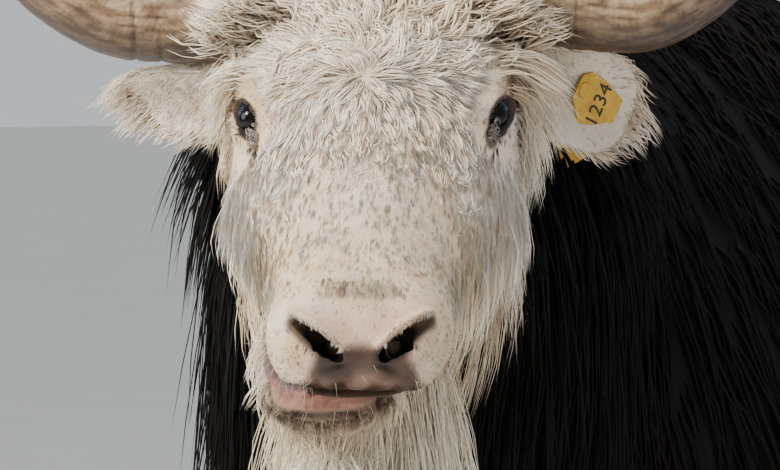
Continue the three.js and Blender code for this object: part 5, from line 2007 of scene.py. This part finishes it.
class Strands:
    """A Geometry Nodes group that turns drawn lines into tapered solid strands."""

    def __init__(self) -> None:
        """Build the group."""
        tree = bpy.data.node_groups.new("strands", "GeometryNodeTree")
        face = tree.interface
        kinds = {"Geometry": "Geometry", "Thickness": "Float", "Sides": "Int", "Material": "Material"}
        for name, kind in kinds.items():
            face.new_socket(name, in_out="INPUT", socket_type=f"NodeSocket{kind}")
        face.new_socket("Geometry", in_out="OUTPUT", socket_type="NodeSocketGeometry")
        nodes, links = tree.nodes, tree.links
        begin, end = nodes.new("NodeGroupInput"), nodes.new("NodeGroupOutput")
        lines = nodes.new("GeometryNodeMeshToCurve")
        size = nodes.new("GeometryNodeInputNamedAttribute")
        size.data_type = "FLOAT"
        size.inputs["Name"].default_value = "Size"
        ring = nodes.new("GeometryNodeCurvePrimitiveCircle")
        sweep = nodes.new("GeometryNodeCurveToMesh")
        sweep.inputs["Fill Caps"].default_value = True
        real = nodes.new("GeometryNodeRealizeInstances")
        paint = nodes.new("GeometryNodeSetMaterial")
        for source, output, target, socket in (
            (begin, "Geometry", lines, "Mesh"),
            (begin, "Sides", ring, "Resolution"),
            (begin, "Thickness", ring, "Radius"),
            (lines, "Curve", sweep, "Curve"),
            (ring, "Curve", sweep, "Profile Curve"),
            (size, 0, sweep, "Scale"),
            (sweep, "Mesh", real, "Geometry"),
            (real, "Geometry", paint, "Geometry"),
            (begin, "Material", paint, "Material"),
            (paint, "Geometry", end, "Geometry"),
        ):
            links.new(source.outputs[output], target.inputs[socket])
        self.tree = tree
        self.socket = {s.name: s.identifier for s in face.items_tree if s.in_out == "INPUT"}

    def sweep(
        self,
        name: str,
        lines: Sequence[tuple[Array, Array]],
        thickness: float,
        sides: int,
        ink: bpy.types.Material,
    ) -> bpy.types.Object:
        """Turn lines into one mesh of solid strands.

        Args:
            name: The object's name.
            lines: Places in the row frame, and the relative size at each.
            thickness: Radius in metres at size one.
            sides: Sides of each strand.
            ink: The material.

        Returns:
            The mesh object.
        """
        points = np.concatenate([line for line, _ in lines])
        sizes = np.concatenate([size for _, size in lines])
        edges, start = [], 0
        for line, _ in lines:
            edges += [(start + i, start + i + 1) for i in range(len(line) - 1)]
            start += len(line)
        mesh = bpy.data.meshes.new(name)
        mesh.from_pydata(points.tolist(), edges, [])
        layer = mesh.attributes.new("Size", "FLOAT", "POINT")
        layer.data.foreach_set("value", sizes.astype(np.float32))
        made = linked(name, mesh)
        work = made.modifiers.new("strands", "NODES")
        work.node_group = self.tree
        work[self.socket["Thickness"]] = thickness
        work[self.socket["Sides"]] = sides
        work[self.socket["Material"]] = ink
        baked(made)
        smooth(made.data)
        return made


@dataclass
class EyeForm:
    """An eyeball with its bulging cornea."""

    bearings: Bearings
    head: HeadForm
    hand: Hand
    ball: float = 19.6
    cornea: float = 14.0
    reach: float = 8.4

    def build(self) -> bpy.types.Object:
        """Make the eyeball, turned to where it looks, with a painted sky reflection on its cornea.

        Returns:
            The eyeball.
        """
        rings, sides = 48, 64
        angle = np.linspace(0.0, math.pi, rings + 2)[1:-1]
        inner = np.maximum(self.cornea**2 - (self.reach * np.sin(angle)) ** 2, 0.0)
        bulge = self.reach * np.cos(angle) + np.sqrt(inner)
        radius = np.where(np.cos(angle) > 0, np.maximum(self.ball, bulge), self.ball)
        radius = np.convolve(np.pad(radius, 1, mode="edge"), (0.25, 0.5, 0.25), mode="valid")
        turn = np.linspace(0.0, 2 * math.pi, sides, endpoint=False)
        ring = np.sin(angle)[:, None]
        ones = np.ones_like(turn)
        own = np.stack([ring * np.cos(turn), ring * np.sin(turn), np.cos(angle)[:, None] * ones], axis=-1)
        own = (own * radius[:, None, None]).reshape(-1, 3)
        own = np.concatenate([own, [[0.0, 0.0, radius[0]], [0.0, 0.0, -radius[-1]]]])
        side = self.hand.value
        places = self.bearings.place(self.head.eye_seat(side) + own @ self.head.eye_axes(side))
        name = f"eyeball_{self.hand.name.lower()}"
        tris = outward(places - places.mean(0), capped(rings, sides))
        made = mesh_object(name, self.bearings.row(places), tris)
        pupil = np.hypot(own[:, 0], own[:, 1] * 1.7)
        dark, brown = np.array([0.0008, 0.0008, 0.001]), np.array([0.004, 0.0022, 0.0014])
        tint = mix(dark, brown, ease(6, 9, pupil)[:, None])
        # Painted reflection: a violet-blue patch of sky laid on the upper outer part of the cornea.
        painted_sky_reflection = ((own[:, 0] + 11.0) / 5.5) ** 2 + ((own[:, 1] * side - 1.5) / 7.0) ** 2
        painted_sky_reflection = ease(1.2, 0.3, painted_sky_reflection) * (own[:, 2] > 0)
        set_attribute(made, "Tint", mix(tint, np.array([0.026, 0.03, 0.06]), painted_sky_reflection[:, None]))
        return made

    def dress(self, made: bpy.types.Object) -> None:
        """Give it a wet, almost black finish."""
        made.data.materials.append(WET_EYE.build())
        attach(made, "root")
        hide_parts(f"eye_{self.hand.name.lower()}")


@dataclass
class EyeTrim:
    """Lashes round the eyes and the crusty folds at their inner corners."""

    bearings: Bearings
    head: HeadForm
    strands: Strands

    def build(self) -> list[bpy.types.Object]:
        """Make lashes and folds.

        Returns:
            The two pieces.
        """
        rng = np.random.default_rng(201)
        lashes: list[tuple[Array, Array]] = []
        folds: list[tuple[Array, Array]] = []
        for side in (LEFT, RIGHT):
            for _ in range(50):
                a = math.radians(rng.uniform(200.0, 330.0))
                root = self.head.eye_point(side, 1 + 16.6 * math.cos(a), 10.8 * math.sin(a), 23.6)
                away = self.head.eye_point(side, 1 + 22.0 * math.cos(a) + 3.0, 16.0 * math.sin(a), 27.0)
                away = away + rng.normal(size=3) * 2.0
                reach = rng.uniform(0.3, 0.8)
                t = np.linspace(0.0, 1.0, 5)[:, None]
                bow = self.head.eye_axes(side)[0] * 2.2
                line = root + (away - root) * reach * t + bow * t * t
                lashes.append((self.bearings.row(self.bearings.place(line)), 1.0 - 0.85 * t[:, 0]))
            for _ in range(60):
                spin = rng.uniform(0.0, 2 * math.pi)
                centre = np.array([rng.normal(20.5, 4.4), rng.normal(-1.0, 2.6)])
                arc = np.linspace(0.0, rng.uniform(1.4, 3.4), 9)
                size = rng.uniform(1.4, 4.4)
                a = centre[0] + size * np.cos(spin + arc) * 1.1
                c = centre[1] + size * np.sin(spin + arc) * 0.8
                out = 23.0 + 0.26 * (a - 14.0) + rng.uniform(0.0, 2.0) + 0.5 * np.sin(3 * arc)
                line = np.stack([self.head.eye_point(side, x, y, z) for x, y, z in zip(a, c, out)])
                width = 0.5 + 0.5 * np.sin(np.linspace(0.15, math.pi - 0.15, 9))
                folds.append((self.bearings.row(self.bearings.place(line)), width * rng.uniform(0.6, 1.3)))
        lash = self.strands.sweep("lashes", lashes, 0.00034, 5, LASH.build())
        crust = self.strands.sweep("eye_folds", folds, 0.0008, 7, CRUST.build())
        for made in (lash, crust):
            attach(made, "root")
        return [lash, crust]


@dataclass
class Whiskers:
    """Stiff dark and pale whiskers on lips, nostrils and chin."""

    bearings: Bearings
    head: HeadForm
    surface: Surface
    strands: Strands

    def build(self) -> list[bpy.types.Object]:
        """Make the whiskers.

        Returns:
            The dark and the pale ones.
        """
        made = []
        s, u, n = self.bearings.face(self.surface.centre).T
        lips = self.surface.on(Part.HEAD) * ease(225, 245, s) * band(n, -115, -100, -20, -4)
        lips = lips * (1.0 - band(n, -88, -84, -50, -44))
        lips = lips * (1.0 - 0.8 * (self.head.off_middle(u) < 36.0) * (n > -60.0))
        for name, count, seed, colour, reach in (
            ("whiskers_dark", 46, 211, (0.05, 0.04, 0.035), 11.0),
            ("whiskers_pale", 84, 212, (0.62, 0.56, 0.46), 13.0),
        ):
            rng = np.random.default_rng(seed)
            roots, normals = self.surface.plant(rng, count, lips)
            lines = []
            for root, normal in zip(roots, normals):
                long = reach * rng.uniform(0.4, 1.3)
                heading = unit(normal + 0.7 * DOWN + 0.4 * rng.normal(size=3))
                t = np.linspace(0.0, 1.0, 6)[:, None]
                bow = DOWN * 0.35 + 0.3 * rng.normal(size=3)
                line = root - normal + heading * long * t + bow * long * t * t
                lines.append((self.bearings.row(line), 1.0 - 0.85 * t[:, 0]))
            piece = self.strands.sweep(name, lines, 0.0002, 5, plain(name, colour, 0.5).build())
            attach(piece, "root")
            made.append(piece)
        return made


@dataclass
class HornForm:
    """A horn that runs out level and then curves up, with growth rings and flakes."""

    bearings: Bearings
    hand: Hand
    seat: Place = (-112.0, 0.0, 16.0)
    stations: Sequence[tuple[float, ...]] = (
        (62, 0, 2, 30),
        (70, 0, 1, 38),
        (146, 4, -2, 38.5),
        (205, 10, 3, 36),
        (256, 16, 27, 33),
        (298, 18, 68, 30),
        (326, 14, 122, 26),
        (340, 2, 182, 21),
        (342, -18, 240, 15.5),
        (334, -42, 290, 9.5),
        (326, -60, 322, 3.5),
        (324, -64, 330, 0.6),
    )
    base_lift: dict[Hand, float] = field(default_factory=lambda: {Hand.LEFT: 16.0, Hand.RIGHT: 5.0})
    outer_lift: dict[Hand, float] = field(default_factory=lambda: {Hand.LEFT: -9.0, Hand.RIGHT: 0.0})
    tan: Colour = (0.20, 0.12, 0.06)
    pale: Colour = (0.40, 0.275, 0.16)
    dark: Colour = (0.03, 0.016, 0.008)
    olive: Colour = (0.14, 0.095, 0.04)

    def build(self) -> bpy.types.Object:
        """Make the horn with its relief.

        Returns:
            The horn.
        """
        rings, sides = 280, 84
        rows = np.array(self.stations, float)
        run = np.concatenate([[0.0], np.cumsum(np.linalg.norm(np.diff(rows[:, :3], axis=0), axis=1))])
        table = Table([(t, *row) for t, row in zip(run, rows)])
        t = np.linspace(0.3, run[-1] - 0.3, rings)
        x, y, z, radius = table.at(t)
        z = z + self.base_lift[self.hand] * (1 - ease(90, 230, x))
        z = z + self.outer_lift[self.hand] * ease(150, 260, x)
        path = np.stack([x, y, z], axis=1)
        ahead = unit(np.gradient(path, axis=0))
        fore = unit(np.array([0.0, 1.0, 0.0]) - ahead * ahead[:, 1:2])
        inner = np.cross(fore, ahead)
        angle = np.linspace(0.0, 2 * math.pi, sides, endpoint=False)
        cos, sin = np.cos(angle), np.sin(angle)
        spots = np.stack([np.repeat(t, sides), np.tile(cos, rings), np.tile(sin, rings)], axis=1)

        def grain(along: float, around: float, seed: int, offset: float = 0.0) -> Array:
            """Make a pattern on the horn from scales along it and round it."""
            return noise(spots * np.array([along, around, around]) + offset, 1.0, seed)

        streak = grain(0.05, 9.0, 301) + 0.6 * grain(0.12, 22.0, 302)
        flake = grain(0.14, 5.0, 303)
        rib = 0.5 + 0.5 * np.sin(t / 8.5 + 1.4 * np.sin(t / 31.0) + self.hand.value)
        base = ease(250, 20, t)
        wobble = 1.5 * grain(0.02, 1.2, 306)
        crack = np.zeros(len(spots))
        rng = np.random.default_rng(310 + self.hand.value)
        for place in np.sort(rng.uniform(50.0, 340.0, 9)):
            bend = spots[:, 0] - place - 5.0 * grain(0.0, 1.6, 304, place)
            share = held(0.5 + grain(0.0, 1.1, 305, 3 * place))
            crack += np.exp(-((bend / 1.1) ** 2)) * share
        crack = held(crack)
        thin = np.repeat(held(radius / 30.0), sides)
        relief = np.repeat(0.9 * rib**3 * base, sides) + 0.5 * streak + 0.7 * np.maximum(flake - 0.15, 0.0)
        relief = relief + wobble - 1.6 * crack
        size = np.repeat(radius, sides) + relief * thin - 0.5
        own = np.repeat(path, sides, axis=0)
        own = own + np.repeat(fore, sides, axis=0) * (spots[:, 1] * size)[:, None]
        own = own + np.repeat(inner, sides, axis=0) * (spots[:, 2] * size)[:, None]
        b, side = self.bearings, self.hand.value
        seat = b.place(np.array(self.seat))
        places = seat + own[:, :1] * side * b.left + own[:, 1:2] * b.forward + own[:, 2:] * b.rise
        places = np.concatenate([places, [places[:sides].mean(0), places[-sides:].mean(0)]])
        name = f"horn_{self.hand.name.lower()}_rings"
        tris = outward(places - places.mean(0), capped(rings, sides))
        made = mesh_object(name, b.row(places), tris)
        tan, pale, dark, olive = (np.array(c) for c in (self.tan, self.pale, self.dark, self.olive))
        under = -(fore[:, 2:] * cos[None, :] + inner[:, 2:] * sin[None, :]).ravel()
        colour = mix(tan, pale, held(0.3 + 1.0 * streak + 0.7 * np.maximum(flake, 0))[:, None])
        mossy = 0.55 * np.repeat(ease(130, 50, t), sides) * held(0.6 + flake)
        colour = mix(colour, olive, mossy[:, None])
        # Painted shade: dark laid on the horn's underside.
        colour = mix(colour, dark, (0.8 * ease(-0.1, 0.85, under))[:, None])
        colour = mix(colour, dark, held(0.8 * crack + 0.6 * np.maximum(-streak, 0))[:, None])
        colour = mix(colour, dark, np.repeat(0.85 * ease(430, 520, t), sides)[:, None])
        set_attribute(made, "Tint", np.concatenate([colour, colour[:1], colour[-1:]]))
        return made

    def dress(self, made: bpy.types.Object) -> None:
        """Give it the dull finish of weathered horn."""
        made.data.materials.append(HornFinish().build())
        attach(made, "root")
        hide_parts(f"horn_{self.hand.name.lower()}")


@dataclass
class TagTrim:
    """The plain digits on the ear tag, and the finish of its plates."""

    ear: EarForm
    text: str = "1234"
    size: float = 19.0
    centre: tuple[float, float] = (90.0, 6.0)
    stand: float = 10.1
    turn: float = -0.14
    tip: float = 0.12
    place: tuple[float, float] = (-4.0, -22.0)
    slant: float = 0.06

    def build(self) -> bpy.types.Object:
        """Make the digits as a thin relief on the front plate.

        Returns:
            The digits.
        """
        curve = bpy.data.curves.new("digits", "FONT")
        curve.body, curve.size, curve.extrude = self.text, 1.0, 0.012
        curve.align_x, curve.align_y = "CENTER", "CENTER"
        holder = linked("digits", curve)
        mesh = evaluated(holder)
        bpy.data.objects.remove(holder)
        flat = read(mesh.vertices, "co", 3).astype(float) * np.array([self.size, self.size * 1.15, self.size])
        x, y = turned(flat[:, 0], flat[:, 1], self.slant)
        y, z = turned(y + self.place[1], flat[:, 2], self.tip)
        x, y = turned(x + self.place[0], y, self.turn)
        ear = self.ear
        centre = ear.root + self.centre[0] * ear.point + self.centre[1] * ear.width
        places = centre + x[:, None] * ear.width - y[:, None] * ear.point
        places = places + (z + self.stand)[:, None] * ear.hollow
        mesh.vertices.foreach_set("co", ear.bearings.row(places).astype(np.float32).ravel())
        mesh.update()
        return linked("tag_digits", mesh)

    def dress(self, made: bpy.types.Object, nodes: dict[str, bpy.types.Object]) -> None:
        """Finish digits and plates.

        Args:
            made: The digits.
            nodes: The frame's own objects by name.
        """
        made.data.materials.clear()
        made.data.materials.append(DIGITS.build())
        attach(made, "root")
        plastic = TAG_PLASTIC.build()
        for name in ("tag_front", "tag_back"):
            nodes[name].data.materials.clear()
            nodes[name].data.materials.append(plastic)


@dataclass
class Hide:
    """The one skin under the coat."""

    bearings: Bearings
    head: HeadForm
    body: BodyForm
    markings: Markings
    ears: list[EarForm]

    def build(self) -> bpy.types.Object:
        """Join head, body and ears into one skin.

        Returns:
            The skin, with the number of its part as each face's material.
        """
        forms: list[tuple[Part, Array, Array]] = []
        vertices, quads = self.head.carve()
        forms.append((Part.HEAD, self.bearings.place(vertices), quads))
        vertices, quads = self.body.carve()
        forms.append((Part.BODY, vertices, quads))
        for ear in self.ears:
            forms.append((Part.EAR, *ear.carve()))
        holders = [bpy.data.materials.new(part.name) for part in Part]
        objects = []
        for part, vertices, faces in forms:
            made = mesh_object("skin", self.bearings.row(vertices), faces)
            for holder in holders:
                made.data.materials.append(holder)
            made.data.polygons.foreach_set("material_index", np.full(len(faces), part.value, np.int32))
            LOG.info("skin form %s: %d faces", part.name, len(faces))
            objects.append(made)
        skin = objects[0]
        for other in objects[1:]:
            join = skin.modifiers.new("join", "BOOLEAN")
            join.operation, join.solver, join.object = "UNION", "MANIFOLD", other
        baked(skin)
        for other in objects[1:]:
            bpy.data.objects.remove(other)
        smooth(skin.data)
        skin.name = "skin"
        return skin

    def dress(self, skin: bpy.types.Object) -> None:
        """Colour the skin and give it its finish.

        Args:
            skin: The joined skin.
        """
        mesh = skin.data
        points = self.bearings.drawing(read(mesh.vertices, "co", 3).astype(float))
        part, total = read(mesh.polygons, "material_index"), read(mesh.polygons, "loop_total")
        of_vertex = np.zeros(len(points), np.int32)
        of_vertex[read(mesh.loops, "vertex_index")] = np.repeat(part, total)
        head = self.markings.head_colour(points, True)
        colour = np.where((of_vertex == Part.BODY.value)[:, None], self.markings.body_colour(points), head)
        colour = np.where((of_vertex == Part.EAR.value)[:, None], self.markings.ear_colour(points), colour)
        set_attribute(skin, "Tint", colour)
        s, u, n = self.bearings.face(points).T
        moist = ease(246, 258, s) * ease(-2, -12, n)
        moist = np.maximum(moist, ease(186, 205, s) * band(n, -89, -85, -60, -52))
        hollow = ease(0, -4, self.head.plain(s, u, n)) * (s > 186.0) * ease(-84, -76, n)
        set_attribute(skin, "Moist", (moist - 2.0 * hollow).clip(-1.0, 1.0) * (of_vertex == Part.HEAD.value))
        mesh.materials.clear()
        mesh.materials.append(SkinFinish().build())
        mesh.polygons.foreach_set("material_index", np.zeros(len(mesh.polygons), np.int32))
        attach(skin, "root")
        legs = [f"leg_{name}" for name in STEP]
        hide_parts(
            "head", "jaw", "neck", "trunk_left", "trunk_right", "tail", "ear_left", "ear_right", *legs
        )


@dataclass(frozen=True)
class Lamp:
    """A soft, round light: its place is metres to the camera's right, up, and towards it from the head."""

    name: str
    place: Place
    size: float
    watts: float
    colour: Colour


COOL = (0.72, 0.76, 1.0)


@dataclass
class Studio:
    """The plain floor, the soft lights and the camera at the photo's angle."""

    bearings: Bearings
    azimuth: float = 40.0
    pitch: float = -2.4
    distance: float = 3.0
    focal_px: float = 3750.0
    frame_px: tuple[float, float] = (780.0, 470.0)
    aim_px: tuple[float, float] = (373.5, 115.5)
    sensor: float = 36.0
    lamps: tuple[Lamp, ...] = (
        Lamp("key", (-2.9, 1.7, 1.8), 1.3, 190.0, (1.0, 0.94, 0.86)),
        Lamp("side", (-2.9, 0.5, 0.7), 1.8, 60.0, (1.0, 0.96, 0.9)),
        Lamp("top", (0.2, 3.2, 0.4), 2.6, 90.0, (0.95, 0.97, 1.0)),
        Lamp("sky", (0.15, 2.0, 2.2), 1.5, 30.0, COOL),
        Lamp("rim", (2.6, 1.5, -1.4), 2.2, 12.0, COOL),
        Lamp("rim", (-2.6, 1.5, -1.4), 2.2, 12.0, COOL),
    )

    def look(self) -> tuple[Array, Array, Array]:
        """Give the camera's directions: to the right, up and ahead."""
        a, p = math.radians(self.azimuth), math.radians(self.pitch)
        ahead = np.array([-math.sin(a) * math.cos(p), math.cos(a) * math.cos(p), math.sin(p)])
        right = np.array([math.cos(a), math.sin(a), 0.0])
        return right, np.cross(right, ahead), ahead

    def camera(self) -> None:
        """Set the camera so that the eyes fall where the photo has them."""
        right, up, ahead = self.look()
        width, height = self.frame_px
        target = self.bearings.row(self.bearings.origin)
        aside = (self.aim_px[0] - width / 2) / self.focal_px * self.distance
        above = (height / 2 - self.aim_px[1]) / self.focal_px * self.distance
        place = target - ahead * self.distance - right * aside - up * above
        camera = linked("camera", bpy.data.cameras.new("camera"))
        camera.data.sensor_width = self.sensor
        camera.data.lens = self.sensor * self.focal_px / width
        camera.data.clip_end = 200.0
        facing = Matrix([Vector(right), Vector(up), Vector(-ahead)]).transposed()
        camera.matrix_world = Matrix.Translation(Vector(place)) @ facing.to_4x4()
        bpy.context.scene.camera = camera

    def light(self, lamp: Lamp) -> None:
        """Add a light that faces the head.

        Args:
            lamp: What it is, and where.
        """
        right, _, ahead = self.look()
        target = self.bearings.row(self.bearings.origin)
        spot = target + right * lamp.place[0] + UP * lamp.place[1] - ahead * lamp.place[2]
        made = linked(lamp.name, bpy.data.lights.new(lamp.name, "AREA"))
        made.data.shape = "DISK"
        made.data.size, made.data.energy, made.data.color = lamp.size, lamp.watts, lamp.colour
        made.location = Vector(spot)
        made.rotation_euler = (Vector(target) - Vector(spot)).to_track_quat("-Z", "Y").to_euler()

    def build(self) -> None:
        """Make the floor, world, lights and camera."""
        half = 60.0
        corners = np.array([[-half, -half, 0], [half, -half, 0], [half, half, 0], [-half, half, 0]])
        floor = mesh_object("floor", corners, np.array([[0, 1, 2, 3]]))
        floor.data.materials.append(FLOOR.build())
        world = bpy.data.worlds.new("studio")
        world.use_nodes = True
        sky = world.node_tree.nodes["Background"]
        sky.inputs["Color"].default_value = (0.88, 0.90, 0.93, 1.0)
        sky.inputs["Strength"].default_value = 0.7
        bpy.context.scene.world = world
        for lamp in self.lamps:
            self.light(lamp)
        self.camera()


def finish_nodes(nodes: dict[str, bpy.types.Object]) -> None:
    """Give the teeth and hooves that show as they are their finish.

    Args:
        nodes: The frame's own objects by name.
    """
    teeth, hoof = TEETH.build(), HoofFinish().build()
    for name, node in nodes.items():
        if name == "teeth" or name.startswith("hoof"):
            node.data.materials.clear()
            node.data.materials.append(teeth if name == "teeth" else hoof)


def main() -> None:
    """Build the yak round the frame, and report each piece."""
    logging.basicConfig(level=logging.INFO, format="%(name)s: %(message)s")
    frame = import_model()
    nodes = frame["nodes"]
    bearings = Bearings()
    head, body = HeadForm(), BodyForm()
    markings = Markings(bearings, head)
    ears = [EarForm(bearings, hand) for hand in Hand]
    hide = Hide(bearings, head, body, markings, ears)
    skin = hide.build()
    surface = Surface(skin, bearings)
    hide.dress(skin)
    LOG.info("skin: %d triangles", len(surface.tris))
    for hand in Hand:
        for form in (EyeForm(bearings, head, hand), HornForm(bearings, hand)):
            piece = form.build()
            form.dress(piece)
            LOG.info("%s: %d faces", piece.name, len(piece.data.polygons))
    strands = Strands()
    trim = EyeTrim(bearings, head, strands).build()
    for piece in trim + Whiskers(bearings, head, surface, strands).build():
        LOG.info("%s: %d faces", piece.name, len(piece.data.polygons))
    tag = TagTrim(ears[0])
    tag.dress(tag.build(), nodes)
    finish_nodes(nodes)
    coat = Coat(bearings, surface, head, body, markings, ears)
    for planting in (
        coat.grow_face,
        coat.grow_tufts,
        coat.grow_wool,
        coat.grow_cheeks,
        coat.grow_beard,
        coat.grow_ears,
        coat.grow_body,
        coat.grow_ruff,
        coat.grow_legs,
        coat.grow_tail,
    ):
        planting()
    Studio(bearings).build()
    bpy.context.view_layer.update()


if __name__ == "__main__":
    main()
